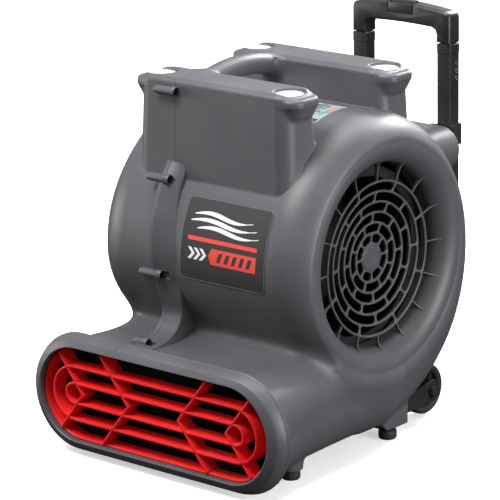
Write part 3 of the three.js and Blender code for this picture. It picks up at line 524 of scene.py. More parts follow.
MOUTH_PLANE = (1, DUCT_END)
right_cut = SEAM_X + SEAM_GAP
left_cut = SEAM_X - SEAM_GAP
shell_low_y = DUCT_END - VOXEL / 2
shell_right = moulded_shell(
    "shell_right", housing_field, (right_cut - VOXEL / 2, shell_low_y, 8.0), (202.0, 246.0, 494.0),
    [(0, right_cut), MOUTH_PLANE], through_opening, GREY, PAINTED_SHADE_INSIDE)
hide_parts("housing_right")
left_columns = math.ceil((202.0 + left_cut) / VOXEL + 0.5)
shell_left = moulded_shell(
    "shell_left", housing_field, (left_cut + VOXEL / 2 - left_columns * VOXEL, shell_low_y, 8.0),
    (left_cut + VOXEL / 2 - 0.01, 246.0, 494.0), [(0, left_cut), MOUTH_PLANE], through_opening, GREY, PAINTED_SHADE_INSIDE)
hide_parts("housing_left")


# ---- Small mesh builders, in millimetres ----
def shaded(piece, angle=35.0, bevel=0.0, steps=2):
    """Smooth shading that keeps corners sharper than the angle, after an optional small edge round."""
    mesh = piece.data
    shape = bmesh.new()
    shape.from_mesh(mesh)
    bmesh.ops.remove_doubles(shape, verts=shape.verts, dist=1e-6)
    bmesh.ops.recalc_face_normals(shape, faces=shape.faces)
    if bevel:
        limit = math.radians(28)
        sharp = [e for e in shape.edges if len(e.link_faces) == 2 and e.calc_face_angle(0) > limit]
        bmesh.ops.bevel(shape, geom=sharp, offset=bevel * MM, segments=steps, profile=0.5,
                        affect="EDGES", clamp_overlap=True)
    for face in shape.faces:
        face.smooth = True
    for edge in shape.edges:
        edge.smooth = len(edge.link_faces) == 2 and edge.calc_face_angle(0) < math.radians(angle)
    shape.to_mesh(mesh)
    shape.free()
    return piece


def lofted(name, rings, material, body="housing", closed=False, caps=True):
    """Skin through rings of equal length; closed joins the last ring to the first."""
    count = len(rings[0])
    points = [p for ring in rings for p in ring]
    faces = []
    spans = len(rings) if closed else len(rings) - 1
    for s in range(spans):
        a, b = s * count, (s + 1) % len(rings) * count
        faces += [(a + i, a + (i + 1) % count, b + (i + 1) % count, b + i) for i in range(count)]
    if caps and not closed:
        last = (len(rings) - 1) * count
        faces += [tuple(range(count))[::-1], tuple(range(last, last + count))]
    return mesh_object(name, points, faces, material, body)


AXES = {
    "x": lambda a, u, v: (a, u, v),
    "y": lambda a, u, v: (v, a, u),
    "z": lambda a, u, v: (u, v, a),
}


def turned(name, profile, axis, centre, material, body="housing", sides=48, closed=False):
    """A lathe shape: profile lists (radius, distance along the axis); centre is the point on the axis."""
    rings = []
    for radius, along in profile:
        ring = []
        for i in range(sides):
            angle = 2 * math.pi * i / sides
            reach = max(radius, 0.01)
            local = AXES[axis](along, reach * math.cos(angle), reach * math.sin(angle))
            ring.append(tuple(local[k] + centre[k] for k in range(3)))
        rings.append(ring)
    return lofted(name, rings, material, body, closed=closed)


def rounded_outline(cu, cv, half_u, half_v, radius, steps=6):
    points = []
    for quarter, (su, sv) in enumerate(((1, 1), (-1, 1), (-1, -1), (1, -1))):
        for i in range(steps + 1):
            angle = (quarter + i / steps) * math.pi / 2
            points.append((cu + su * (half_u - radius) + radius * math.cos(angle),
                           cv + sv * (half_v - radius) + radius * math.sin(angle)))
    return points


def prism(name, outline, axis, low, high, material, body="housing"):
    """A flat outline pushed along an axis. The outline is (y, z) for x, (z, x) for y and (x, y) for z."""
    rings = [[AXES[axis](at, u, v) for u, v in outline] for at in (low, high)]
    return lofted(name, rings, material, body)


def pressed(name, outline, holes, thickness, bevel, material, body="housing"):
    """A flat plate with holes and rounded edges, lying in XY about z 0, as a mesh piece."""
    curve = bpy.data.curves.new(name, "CURVE")
    curve.dimensions = "2D"
    curve.fill_mode = "BOTH"
    curve.extrude = (thickness / 2 - bevel) * MM
    curve.bevel_depth = bevel * MM
    curve.bevel_resolution = 2
    curve.offset = -bevel * MM
    for ring in [outline] + holes:
        spline = curve.splines.new("POLY")
        spline.points.add(len(ring) - 1)
        for point, (u, v) in zip(spline.points, ring):
            point.co = (u * MM, v * MM, 0, 1)
        spline.use_cyclic_u = True
    holder = bpy.data.objects.new(name + "_curve", curve)
    bpy.context.scene.collection.objects.link(holder)
    bpy.context.view_layer.update()
    mesh = bpy.data.meshes.new_from_object(holder.evaluated_get(bpy.context.evaluated_depsgraph_get()))
    bpy.data.objects.remove(holder)
    bpy.data.curves.remove(curve)
    mesh.name = name
    mesh.materials.clear()
    piece = bpy.data.objects.new(name, mesh)
    bpy.context.scene.collection.objects.link(piece)
    mesh.materials.append(material)
    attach(piece, body)
    return piece


def reshape(piece, rule):
    """Moves every vertex by a rule on an array of points in millimetres."""
    mesh = piece.data
    points = np.empty(len(mesh.vertices) * 3, np.float32)
    mesh.vertices.foreach_get("co", points)
    moved = rule(points.reshape(-1, 3).astype(float) / MM)
    mesh.vertices.foreach_set("co", (moved * MM).astype(np.float32).ravel())
    mesh.update()
    return piece


def cut_away(piece, cutter):
    """Boolean difference, applied at once; the cutter is removed."""
    tool = piece.modifiers.new("cut", "BOOLEAN")
    tool.operation = "DIFFERENCE"
    tool.solver = "EXACT"
    tool.object = cutter
    bpy.context.view_layer.update()
    mesh = bpy.data.meshes.new_from_object(piece.evaluated_get(bpy.context.evaluated_depsgraph_get()))
    piece.modifiers.clear()
    old = piece.data
    piece.data = mesh
    bpy.data.meshes.remove(old)
    bpy.data.objects.remove(cutter)
    return piece


# ---- Outlet rim: a lip round the mouth, in a left and a right half ----
RIM_PROFILE = [
    (-238.5, 0.0), (-262.0, 0.0), (-265.6, 0.01), (-266.7, 0.05), (-267.0, 0.10), (-266.6, 0.16),
    (-262.6, 0.56), (-261.8, 0.63), (-260.4, 0.69), (-252.0, 0.92), (-250.4, 0.935), (-249.4, 0.925),
    (-248.6, 0.95), (-247.2, 1.0), (-245.2, 1.0), (-243.8, 0.95), (-243.0, 0.85), (-241.0, 0.42),
    (-238.5, 0.34),
]


def stadium_path(half_w, half_h, middle=OUTLET_Z, sides=20, straight=10):
    """Points (x, z) round an outline with straight top and bottom and half-round ends."""
    flat = half_w - half_h
    points = []
    for side in (1, -1):
        for i in range(sides + 1):
            angle = math.pi * (i / sides - 0.5)
            x = side * (flat + half_h * math.cos(angle))
            points.append((x, middle + side * half_h * math.sin(angle)))
        for i in range(1, straight):
            points.append((side * flat * (1 - 2 * i / straight), middle + side * half_h))
    return points


def rim_ring(share):
    """Points of the stadium round the mouth; share runs from the opening to the outer edge."""
    half_w = OUTLET_HALF_W + share * (RIM_HALF_W - OUTLET_HALF_W)
    half_h = OUTLET_HALF_H + share * (RIM_HALF_H - OUTLET_HALF_H)
    middle = OUTLET_Z + share * (RIM_Z - OUTLET_Z)
    return stadium_path(half_w, half_h, middle, sides=26, straight=24)


def outlet_rim():
    rings = [[(x, y, z) for x, z in rim_ring(share)] for y, share in RIM_PROFILE]
    for name, low, high in (("outlet_rim_right", right_cut, 500), ("outlet_rim_left", -500, left_cut)):
        rim = lofted(name, rings, GREY, closed=True, caps=False)
        shape = bmesh.new()
        shape.from_mesh(rim.data)
        keep_right = high > 0
        cut = (low if keep_right else high) * MM
        geometry = shape.verts[:] + shape.edges[:] + shape.faces[:]
        bmesh.ops.bisect_plane(shape, geom=geometry, dist=1e-6, plane_co=(cut, 0, 0),
                               plane_no=(1, 0, 0), clear_inner=keep_right, clear_outer=not keep_right)
        open_edges = [e for e in shape.edges if len(e.link_faces) == 1]
        bmesh.ops.edgeloop_fill(shape, edges=open_edges)
        shape.to_mesh(rim.data)
        shape.free()
        shaded(rim, angle=24)


outlet_rim()

# Seam screws as y, z and the x where each head ends; the second to fourth stand on the front ridge.
SEAM_SCREWS = [
    (-146.0, 464.0, -52.0), (-163.0, 355.0, -50.0), (-181.5, 235.0, -50.0), (-211.0, 152.4, -50.0),
    (38.0, 473.0, -45.0), (113.0, 462.0, -52.0),
] + [(*scroll_point(degrees, 4.0), -52.0) for degrees in (12, -36)]
BAR_SCREW = 5

# ---- Ridge along the seam on the drum front, carried over the neck on to the outlet ----
RIDGE_PATH = [
    (-149.5, 376.5), (-151.5, 373.5), (-163.3, 357.3), (-171.5, 342.5), (-177.3, 328.0), (-183.4, 311.0),
    (-186.4, 291.0), (-186.9, 274.0), (-185.8, 258.0), (-182.6, 241.0), (-179.0, 225.7), (-174.6, 209.5),
    (-169.2, 195.5), (-167.4, 187.0), (-167.9, 179.0), (-172.8, 169.8), (-181.0, 162.3), (-193.0, 156.4),
    (-206.0, 153.4), (-222.0, 152.2), (-240.0, 151.6),
]
RIDGE_LEFT, RIDGE_CREST = -66.0, -57.6
RIDGE_FOOT_HEIGHTS = [150.0, 175.0, 196.0, 218.0, 251.0, 284.0, 320.0, 350.0]
RIDGE_FOOT_X = [-33.0, -33.0, -30.0, -27.0, -25.0, -28.5, -36.6, -39.5]


def dense_path(points, spacing):
    """A smooth path through the points (Catmull-Rom), as rows of y, z, with outward normals."""
    points = np.array(points)
    padded = np.concatenate([2 * points[:1] - points[1:2], points, 2 * points[-1:] - points[-2:-1]])
    rows = []
    for i in range(1, len(padded) - 2):
        a, b, c, d = padded[i - 1 : i + 3]
        count = max(2, int(np.linalg.norm(c - b) / spacing))
        for t in np.linspace(0, 1, count, endpoint=False):
            rows.append(0.5 * (2 * b + (c - a) * t + (2 * a - 5 * b + 4 * c - d) * t**2
                               + (3 * b - a - 3 * c + d) * t**3))
    rows.append(points[-1])
    rows = np.array(rows)
    along = np.gradient(rows, axis=0)
    along /= np.linalg.norm(along, axis=1, keepdims=True)
    return rows, np.stack([along[:, 1], -along[:, 0]], 1)


def depth_to_skin(x, rows, normals):
    """How far each path point lies above the moulded surface, measured along its normal."""
    depth = np.zeros(len(rows))
    for _ in range(60):
        spot = rows - depth[:, None] * normals
        points = np.column_stack([np.zeros(len(rows)) + x, spot])
        depth += np.clip(housing_field(points), -2, 2) * 0.7
    return depth


def ridge(name, xs, drops, rows, normals, material, sink=2.6):
    """Sweeps a section along the path: xs across, drops below the crest at each x, sunk into the wall."""
    rings = []
    xs = [np.zeros(len(rows)) + x for x in xs]
    left = depth_to_skin(xs[0], rows, normals) + sink
    right = depth_to_skin(xs[-1], rows, normals) + sink
    for i, (row, normal) in enumerate(zip(rows, normals)):
        heights = [-max(left[i], 1.0)] + [-drop[i] for drop in drops] + [-max(right[i], drops[-1][i] + 0.5)]
        across = [xs[0][i]] + [x[i] for x in xs] + [xs[-1][i]]
        rings.append([(x, row[0] + h * normal[0], row[1] + h * normal[1]) for x, h in zip(across, heights)])
    return shaded(lofted(name, rings, material), angle=30)


def front_ridge():
    rows, normals = dense_path(RIDGE_PATH, 3.0)
    normals = -normals if normals[len(rows) // 3][0] > 0 else normals
    height = rows[:, 1]
    foot = np.interp(height, RIDGE_FOOT_HEIGHTS, RIDGE_FOOT_X)
    width = foot - RIDGE_CREST
    slope = np.clip(depth_to_skin(foot, rows, normals) / width, 0, 0.6)
    spread = np.exp(-np.linspace(-2, 2, 25) ** 2)
    slope = np.convolve(np.pad(slope, 12, mode="edge"), spread / spread.sum(), mode="valid")
    slope *= np.clip((height - 200.0) / 22.0, 0, 1)
    none = np.zeros(len(rows))
    chamfer = np.full(len(rows), 0.8)
    ridge("seam_ridge_left", (RIDGE_LEFT, RIDGE_LEFT + 0.8, left_cut), (chamfer, none, none),
          rows, normals, GREY)
    right = ridge(
        "seam_ridge_right",
        (right_cut, RIDGE_CREST, RIDGE_CREST + 0.5 * width, foot - 1.5, foot),
        (none, none, slope * 0.5 * width, slope * (width - 1.5), slope * width + 1.0),
        rows, normals, GREY)
    bore = [(0.01, -62), (5.8, -62), (5.8, -40), (0.01, -40)]
    for y, z, _ in SEAM_SCREWS[1:4]:
        hole = turned("hole", bore, "x", (0, y, z), GREY, sides=28)
        bpy.context.view_layer.update()
        cut_away(right, hole)
    shaded(right, angle=30)


front_ridge()


# ---- Rear ridge and the screw bosses ----
def rear_ridge():
    angles = np.linspace(-62, 42, 60)
    y, z = scroll_point(angles, 8.0)
    rows = np.stack([y, z], 1)
    along = np.gradient(rows, axis=0)
    along /= np.linalg.norm(along, axis=1, keepdims=True)
    normals = np.stack([along[:, 1], -along[:, 0]], 1)
    chamfer = np.full(len(rows), 0.9)
    ends = np.minimum(np.arange(len(rows)), np.arange(len(rows))[::-1])
    taper = 7.0 * (1 - np.clip(ends / 6.0, 0, 1)) ** 1.5
    ridge("rear_ridge_left", (-64.0, -63.1, left_cut), (taper + chamfer, taper, taper),
          rows, normals, GREY)
    ridge("rear_ridge_right", (right_cut, -54.9, -54.0), (taper, taper, taper + chamfer),
          rows, normals, GREY)


rear_ridge()


def screw_boss(number, y, z, head_x):
    """A short tube across the seam with a counterbore, and the dark screw sunk in it."""
    centre = (0, y, z)
    if number != BAR_SCREW:
        tail = -74.0 if number == 4 else -88.0
        left = turned(f"boss_left_{number}", [
            (0, tail), (3.6, tail), (4.9, tail + 1.4), (5.3, tail + 4), (5.6, left_cut), (0, left_cut)],
            "x", centre, GREY, sides=32)
        shaded(left, angle=40)
        right = turned(f"boss_right_{number}", [
            (2.6, right_cut), (6.6, right_cut), (6.8, head_x - 1.0), (6.5, head_x - 0.2), (6.0, head_x),
            (5.5, head_x - 0.4), (5.3, head_x - 5.0), (2.6, head_x - 5.0)],
            "x", centre, GREY, sides=32, closed=True)
        shaded(right, angle=40)
    else:
        ring = turned("bar_screw_ring", [
            (4.9, head_x - 3.0), (6.0, head_x - 3.0), (6.0, head_x + 0.1), (5.6, head_x + 0.6),
            (4.9, head_x + 0.2)],
            "x", centre, GREY, sides=32, closed=True)
        shaded(ring, angle=40)
    top = head_x - 2.2
    screw = turned(f"screw_{number}", [
        (0, top - 1.5), (1.3, top - 1.5), (1.4, top - 0.05), (3.6, top + 0.1), (4.1, top - 0.7),
        (4.1, top - 2.6), (2.0, top - 2.6), (2.0, top - 20.0), (0, top - 22.0)], "x", centre, STEEL, sides=24)
    shaded(screw, angle=40)
    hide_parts(f"seam_screw_{number}")


for order, (screw_y, screw_z, screw_head) in enumerate(SEAM_SCREWS, 1):
    screw_boss(order, screw_y, screw_z, screw_head)


# ---- Inlet grilles ----
GRILLE_HUB = 18.0
BAND_PITCH = 13.6
BAND_COUNT = 6
BAR = 3.2


def arc_slot(inner, outer, start, end, corner, steps=7):
    """Outline of a curved slot with rounded corners, radii and angles in millimetres and radians."""
    points = []
    corner = min(corner, (outer - inner) * 0.42, inner * (end - start) * 0.42)

    def add_corner(radius, angle, turn, out, side):
        """side is +1 at the end angle and -1 at the start; out is +1 on the outer arc."""
        centre_r = radius - out * corner
        centre_a = angle - side * corner / centre_r
        for i in range(5):
            swing = turn + i / 4 * math.pi / 2
            dr = math.cos(swing) * corner
            dt = math.sin(swing) * corner
            points.append((centre_r + dr, centre_a + dt / centre_r))

    def between(radius, out):
        swing = corner / (radius - out * corner)
        return np.linspace(start + swing, end - swing, steps)[1:-1]

    add_corner(outer, start, -math.pi / 2, 1, -1)
    points.extend((outer, a) for a in between(outer, 1))
    add_corner(outer, end, 0, 1, 1)
    add_corner(inner, end, math.pi / 2, -1, 1)
    points.extend((inner, a) for a in between(inner, -1)[::-1])
    add_corner(inner, start, math.pi, -1, -1)
    return [(r * math.cos(a), r * math.sin(a)) for r, a in points]


def dished(points, side):
    """Carries the flat plate to the inlet: local z becomes x, with the middle set in."""
    radius = np.hypot(points[:, 0], points[:, 1])
    inset = GRILLE_DISH * np.maximum(0, 1 - (radius / INLET_RADIUS) ** 2)
    x = side * (GRILLE_OUT - GRILLE_THICK / 2 + points[:, 2] - inset)
    return np.column_stack([x, INLET_Y + points[:, 0], INLET_Z + points[:, 1]])


def inlet_grille(side, name):
    outer_edge = GRILLE_HUB + BAND_COUNT * BAND_PITCH + BAR / 2
    turn = np.linspace(0, 2 * math.pi, 128, False)
    rim = [(outer_edge * math.cos(a), outer_edge * math.sin(a)) for a in turn]
    slots = []
    for band in range(BAND_COUNT):
        inner = GRILLE_HUB + band * BAND_PITCH + BAR / 2
        outer = inner + BAND_PITCH - BAR
        web = BAR / (inner + outer)
        for i in range(8):
            middle = (i + (band + 1) % 2 / 2) * math.pi / 4
            slots.append(arc_slot(inner, outer, middle - math.pi / 8 + web, middle + math.pi / 8 - web, 3.8))
    disc = pressed(name, rim, slots, GRILLE_THICK, 1.25, GREY)
    reshape(disc, lambda p: dished(p, side))
    shaded(disc, angle=50)
    rib_count = 16
    for i in range(rib_count):
        angle = i * 2 * math.pi / rib_count
        lift = THROAT_RISE * math.sin(angle)
        wall = lift + math.sqrt(INLET_RADIUS**2 - (THROAT_RISE * math.cos(angle)) ** 2)
        along = [(outer_edge - 2.0, 148.0), (outer_edge - 2.0, 151.4), (outer_edge + 1.5, 152.2),
                 (outer_edge + 9.0, 152.6), (wall - 4.0, 153.6), (wall + 1.0, 155.4), (wall + 4.6, 159.2),
                 (wall + 7.4, 159.6), (wall + 5.0, 150.0), (wall + 2.0, 148.0)]
        plate = []
        for offset in (-1.0, 1.0):
            plate.append([(side * x, INLET_Y + r * math.cos(angle) - offset * math.sin(angle),
                           INLET_Z + r * math.sin(angle) + offset * math.cos(angle)) for r, x in along])
        fin = lofted(f"{name}_rib_{i + 1}", plate, GREY)
        shaded(fin, angle=35, bevel=0.5)
    seat = turned(f"{name}_hub", [
        (0, 142.6), (13.0, 142.9), (16.4, 143.4), (17.4, 142.9), (17.6, 140.6), (0, 140.4)],
        "x", (0, INLET_Y, INLET_Z), GREY, sides=64)
    if side < 0:
        reshape(seat, lambda p: p * np.array([-1, 1, 1]))
    shaded(seat, angle=40)


inlet_grille(1, "inlet_grille_right")
inlet_grille(-1, "inlet_grille_left")


# ---- Outlet grille: frame, two stadium rings and four chevrons ----
GRILLE_FRONT, GRILLE_BACK = -262.0, -240.0


def stadium_band(name, half_w, half_h, profile):
    """A closed hoop: profile lists (y, distance out from the hoop's middle line)."""
    rings = []
    for y, out in profile:
        rings.append([(x, y, z) for x, z in stadium_path(half_w + out, half_h + out)])
    hoop = lofted(name, rings, RED, closed=True, caps=False)
    return shaded(hoop, angle=40)


def rib_profile(front, thick):
    """Section of a rib: a softened front edge, thicker towards the back for draft."""
    half = thick / 2
    return [(GRILLE_BACK, half + 0.5), (front + 0.7, half), (front + 0.2, half - 0.25), (front, half - 0.8),
            (front, 0.8 - half), (front + 0.2, 0.25 - half), (front + 0.7, -half), (GRILLE_BACK, -half - 0.5)]


def chevron(name, apex_x):
    """Two slanting ribs that meet in a point on the middle line and run out to the frame."""
    lean = 0.78 * math.copysign(1, apex_x)
    inner_w, inner_h = OUTLET_HALF_W - 3.0, OUTLET_HALF_H - 3.0
    flat = inner_w - inner_h
    reach = 0.0
    while reach < inner_h:
        x = abs(apex_x + lean * reach)
        if math.hypot(max(x - flat, 0), reach) > inner_h:
            break
        reach += 0.25
    spine = [(apex_x + lean * abs(h), OUTLET_Z + h) for h in np.linspace(-reach, reach, 25)]
    spine = np.array(spine)
    along = np.gradient(spine, axis=0)
    along /= np.linalg.norm(along, axis=1, keepdims=True)
    across = np.stack([along[:, 1], -along[:, 0]], 1)
    profile = rib_profile(GRILLE_FRONT, 3.2)
    rings = []
    for point, normal in zip(spine, across):
        stretch = 1.28 if abs(point[1] - OUTLET_Z) < 1e-6 else 1.0
        rings.append([(point[0] + stretch * out * normal[0], y, point[1] + stretch * out * normal[1])
                      for y, out in profile])
    rib = lofted(name, rings, RED)
    return shaded(rib, angle=40)


def outlet_grille():
    frame_edge = -259.0
    frame_hoop = stadium_band("grille_frame", OUTLET_HALF_W - 2.0, OUTLET_HALF_H - 2.0, [
        (GRILLE_BACK, 1.4), (frame_edge + 0.6, 1.4), (frame_edge, 0.9), (frame_edge, -0.4),
        (frame_edge + 0.6, -0.9), (GRILLE_BACK, -1.6)])
    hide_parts("outlet_grille")
    stadium_band("grille_ring_outer", 169.4, 35.3, rib_profile(GRILLE_FRONT, 3.2))
    stadium_band("grille_ring_inner", 147.8, 13.0, rib_profile(GRILLE_FRONT, 3.2))
    for i, apex in enumerate((-120.0, -42.0, 42.0, 120.0), 1):
        chevron(f"grille_chevron_{i}", apex)


outlet_grille()

# ---- Labels: thin curved films with generic printed marks ----
LABEL_X0, LABEL_X1 = -20.0, 115.0
LABEL_TOP, LABEL_BOTTOM = 148.0, 183.0
LABEL_WIDTH, LABEL_HEIGHT = 135.0, 104.0


def on_front_label(u, v, height):
    """Label coordinates (0 to 1 across and down) to a point standing height above the drum."""
    y, z = scroll_point(LABEL_TOP + v * (LABEL_BOTTOM - LABEL_TOP), height)
    return LABEL_X0 + u * (LABEL_X1 - LABEL_X0), y, z


def film(name, outline_rows, place, bottom, top, material, body="housing"):
    """A thin closed patch: outline_rows lists (v, u0, u1) from top to bottom, place maps (u, v, height)."""
    columns = 12
    points = []
    for height in (bottom, top):
        for v, u0, u1 in outline_rows:
            points += [place(u0 + (u1 - u0) * i / columns, v, height) for i in range(columns + 1)]
    row = columns + 1
    layer = row * len(outline_rows)
    faces = []
    for r in range(len(outline_rows) - 1):
        for c in range(columns):
            a = r * row + c
            faces.append((a, a + 1, a + 1 + row, a + row))
            faces.append((layer + a + row, layer + a + 1 + row, layer + a + 1, layer + a))
    border = list(range(columns))
    border += [r * row + columns for r in range(len(outline_rows) - 1)]
    border += [(len(outline_rows) - 1) * row + c for c in range(columns, 0, -1)]
    border += [r * row for r in range(len(outline_rows) - 1, 0, -1)]
    for a, b in zip(border, border[1:] + border[:1]):
        faces.append((b, a, a + layer, b + layer))
    return shaded(mesh_object(name, points, faces, material, body), angle=40)


def rounded_rows(corner_u, corner_v, margin=0.0, count=26):
    """Rows of a rounded rectangle in label coordinates."""
    rows = []
    for v in np.concatenate([np.linspace(0, corner_v, 7), np.linspace(corner_v, 1 - corner_v, count)[1:-1],
                             np.linspace(1 - corner_v, 1, 7)]):
        near = max(corner_v - v, v - (1 - corner_v), 0) / corner_v
        inset = corner_u * (1 - math.sqrt(max(1 - near**2, 0)))
        rows.append((margin + v * (1 - 2 * margin), margin + inset, 1 - margin - inset))
    return rows


def printed(name, left_edge, right_edge, v0, v1, height, material, steps=8, place=None):
    """A printed shape between two edges; each edge gives u for a share of the way down."""
    rows = []
    for i in range(steps + 1):
        share = i / steps
        rows.append((v0 + share * (v1 - v0), left_edge(share), right_edge(share)))
    return film(name, rows, place or on_front_label, height, height + 0.12, material)


def wave_band(name, u0, u1, middle, thick, height, material):
    """A white air-stream stripe that swells in the middle and thins at both ends."""
    count = 40
    top = []
    bottom = []
    for i in range(count + 1):
        t = i / count
        centre = middle - 0.030 * math.sin(2 * math.pi * t)
        half = thick * (0.18 + 0.82 * math.sin(math.pi * min(t * 1.12, 1)) ** 0.8) / 2
        top.append((u0 + t * (u1 - u0), centre - half))
        bottom.append((u0 + t * (u1 - u0), centre + half))
    points = []
    for level in (height, height + 0.12):
        points += [on_front_label(u, v, level) for u, v in top]
        points += [on_front_label(u, v, level) for u, v in bottom]
    n = count + 1
    faces = []
    for i in range(count):
        faces.append((i, i + 1, n + i + 1, n + i))
        faces.append((2 * n + i, 3 * n + i, 3 * n + i + 1, 2 * n + i + 1))
        faces.append((i + 1, i, 2 * n + i, 2 * n + i + 1))
        faces.append((n + i, n + i + 1, 3 * n + i + 1, 3 * n + i))
    faces += [(0, n, 3 * n, 2 * n), (n - 1, 3 * n - 1, 4 * n - 1, 2 * n - 1)]
    return shaded(mesh_object(name, points, faces, material), angle=40)


def front_label():
    rounded = rounded_rows(0.045, 0.058)
    base = film("front_label_film", rounded, on_front_label, -0.5, 0.35, LABEL)
    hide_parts("front_label")
    loop = [(u0, v) for v, u0, u1 in rounded] + [(u1, v) for v, u0, u1 in reversed(rounded)]
    rings = []
    for grow, height in ((0.0, -0.4), (0.0, 0.55), (0.35, 0.8), (1.05, 0.8), (1.5, 0.45), (1.5, -0.4)):
        ring = []
        for i, (u, v) in enumerate(loop):
            before = loop[i - 1]
            after = loop[(i + 1) % len(loop)]
            du = (after[0] - before[0]) * LABEL_WIDTH
            dv = (after[1] - before[1]) * LABEL_HEIGHT
            size = max(math.hypot(du, dv), 1e-6)
            ring.append(on_front_label(u - grow * dv / size / LABEL_WIDTH,
                                       v + grow * du / size / LABEL_HEIGHT, height))
        rings.append(ring)
    border = lofted("front_label_border", rings, GREY, closed=True, caps=False)
    shaded(border, angle=50)
    height = 0.36
    for i, (middle, u0, u1) in enumerate(((0.19, 0.10, 0.80), (0.275, 0.07, 0.86), (0.36, 0.16, 0.90)), 1):
        wave_band(f"label_wave_{i}", u0, u1, middle, 0.055, height, INK_WHITE)
    printed("label_stripe", lambda s: 0.07, lambda s: 0.90, 0.462, 0.512, height, INK_RED, 2)
    for i in range(3):
        start = 0.08 + 0.07 * i
        tip = lambda s, start=start: start + 0.05 * (1 - abs(2 * s - 1))
        end = lambda s, start=start: start + 0.038 + 0.05 * (1 - abs(2 * s - 1))
        printed(f"label_arrow_{i + 1}", tip, end, 0.60, 0.745, height, INK_WHITE, 8)
    printed("label_tag", lambda s: 0.33 + 0.035 * abs(2 * s - 1), lambda s: 0.90, 0.575, 0.77, height,
            INK_RED, 8)
    for i in range(5):
        start = 0.43 + 0.088 * i
        printed(f"label_notch_{i + 1}", lambda s, start=start: start + 0.03 * (1 - s),
                lambda s, start=start: start + 0.042 + 0.03 * (1 - s), 0.615, 0.73, height + 0.12, LABEL, 4)


front_label()


def on_top_label(u, v, height):
    y, z = scroll_point(102.0 - v * 20.0, height)
    return 48.0 + u * 46.0, y, z


def top_label():
    base = film("top_label_film", rounded_rows(0.05, 0.04), on_top_label, -0.4, 0.4, PALE)
    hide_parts("top_label")
    printed("top_label_patch", lambda s: 0.72, lambda s: 0.95, 0.62, 0.78, 0.4, INK_ORANGE, 3, on_top_label)
    printed("top_label_band", lambda s: 0.06, lambda s: 0.94, 0.05, 0.14, 0.4, LABEL, 3, on_top_label)
    for i in range(7):
        start = 0.20 + 0.105 * i
        width = (0.60 if i < 3 else 0.58) + 0.04 * (i % 3)
        printed(f"top_label_line_{i + 1}", lambda s: 0.08, lambda s, width=width: width, start,
                start + 0.035, 0.4, LABEL, 2, on_top_label)


top_label()

# ---- Wheels, feet and axles ----
TYRE_INNER = 25.0


def wheel(side, name):
    x = side * WHEEL_X
    centre = (x, WHEEL_Y, WHEEL_Z)
    body = f"wheel_{name}"
    tyre = turned(f"tyre_{name}", [
        (TYRE_INNER, -9.4), (26.2, -10.4), (30.4, -10.9), (32.3, -10.3), (33.5, -8.6),
        (34.0, -6.6), (34.0, -1.2), (33.4, -0.8), (33.4, 0.8), (34.0, 1.2), (34.0, 6.6),
        (33.5, 8.6), (32.3, 10.3), (30.4, 10.9), (26.2, 10.4), (TYRE_INNER, 9.4)],
        "x", centre, RUBBER, body, sides=96, closed=True)
    shaded(tyre, angle=40)
    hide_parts(f"wheel_tyre_{name}")
    hub = turned(f"hub_{name}", [
        (5.4, -15.4), (8.0, -15.4), (8.8, -14.8), (9.2, -5.5), (10.4, -4.2), (20.4, -4.0),
        (22.0, -4.8), (23.4, -9.6), (24.6, -10.0), (24.6, 10.0), (23.4, 9.6), (22.0, 4.8),
        (20.4, 4.0), (10.4, 4.2), (9.2, 5.5), (8.8, 14.8), (8.0, 15.4), (5.4, 15.4)],
        "x", centre, BLACK, body, sides=72, closed=True)
    shaded(hub, angle=35)
    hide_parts(f"wheel_hub_{name}")
    for i in range(6):
        angle = i * math.pi / 3
        outline = [(8.0, -1.1), (23.6, -1.1), (23.6, 1.1), (8.0, 1.1)]
        spoke = prism(f"spoke_{name}_{i + 1}", outline, "x", -8.6, 8.6, BLACK, body)
        turn = Matrix.Rotation(angle, 4, "X")
        spoke.data.transform(Matrix.Translation(Vector(centre) * MM) @ turn)
        shaded(spoke, angle=35, bevel=0.4)
    washer = turned(f"axle_bolt_washer_{name}", [
        (5.4, 0.0), (9.6, 0.0), (9.6, 1.2), (9.2, 1.6), (5.4, 1.6)],
        "x", (side * 134.1, WHEEL_Y, WHEEL_Z), STEEL, sides=40, closed=True)
    if side < 0:
        reshape(washer, lambda p: p - np.array([1.6, 0, 0]))
    shaded(washer, angle=40)


wheel(1, "right")
wheel(-1, "left")


def rubber_feet():
    for along, y in (("front", FRONT_FOOT_Y), ("rear", REAR_FOOT_Y)):
        for side, name in ((1, "right"), (-1, "left")):
            foot = turned(f"foot_{along}_{name}", [
                (0, 0.0), (9.4, 0.0), (10.6, 0.5), (11.4, 1.6), (11.8, 3.2), (12.0, 9.6), (11.4, 10.6),
                (11.4, 12.0), (0, 12.0)], "z", (side * FOOT_X, y, 0), RUBBER, sides=56)
            shaded(foot, angle=40)
            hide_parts(f"{along}_foot_{name}")


rubber_feet()


# ---- Pull handle ----
def square_tube(name, half, wall, corner, z0, z1, side, material, body, node):
    """A square tube with rounded corners and open ends."""
    rings = []
    for z, grow in ((z0, -0.4), (z0 + 0.4, 0.0), (z1 - 0.4, 0.0), (z1, -0.4)):
        rings.append([(u, v, z) for u, v in rounded_outline(
            side * TUBE_X, TUBE_Y, half + grow, half + grow, corner, 5)])
    bore = half - wall
    for z in (z1, z0):
        rings.append([(u, v, z) for u, v in rounded_outline(
            side * TUBE_X, TUBE_Y, bore, bore, max(corner - wall, 0.4), 5)])
    tube = lofted(name, rings, material, body, closed=True, caps=False)
    shaded(tube, angle=40)
    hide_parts(node)
    return tube


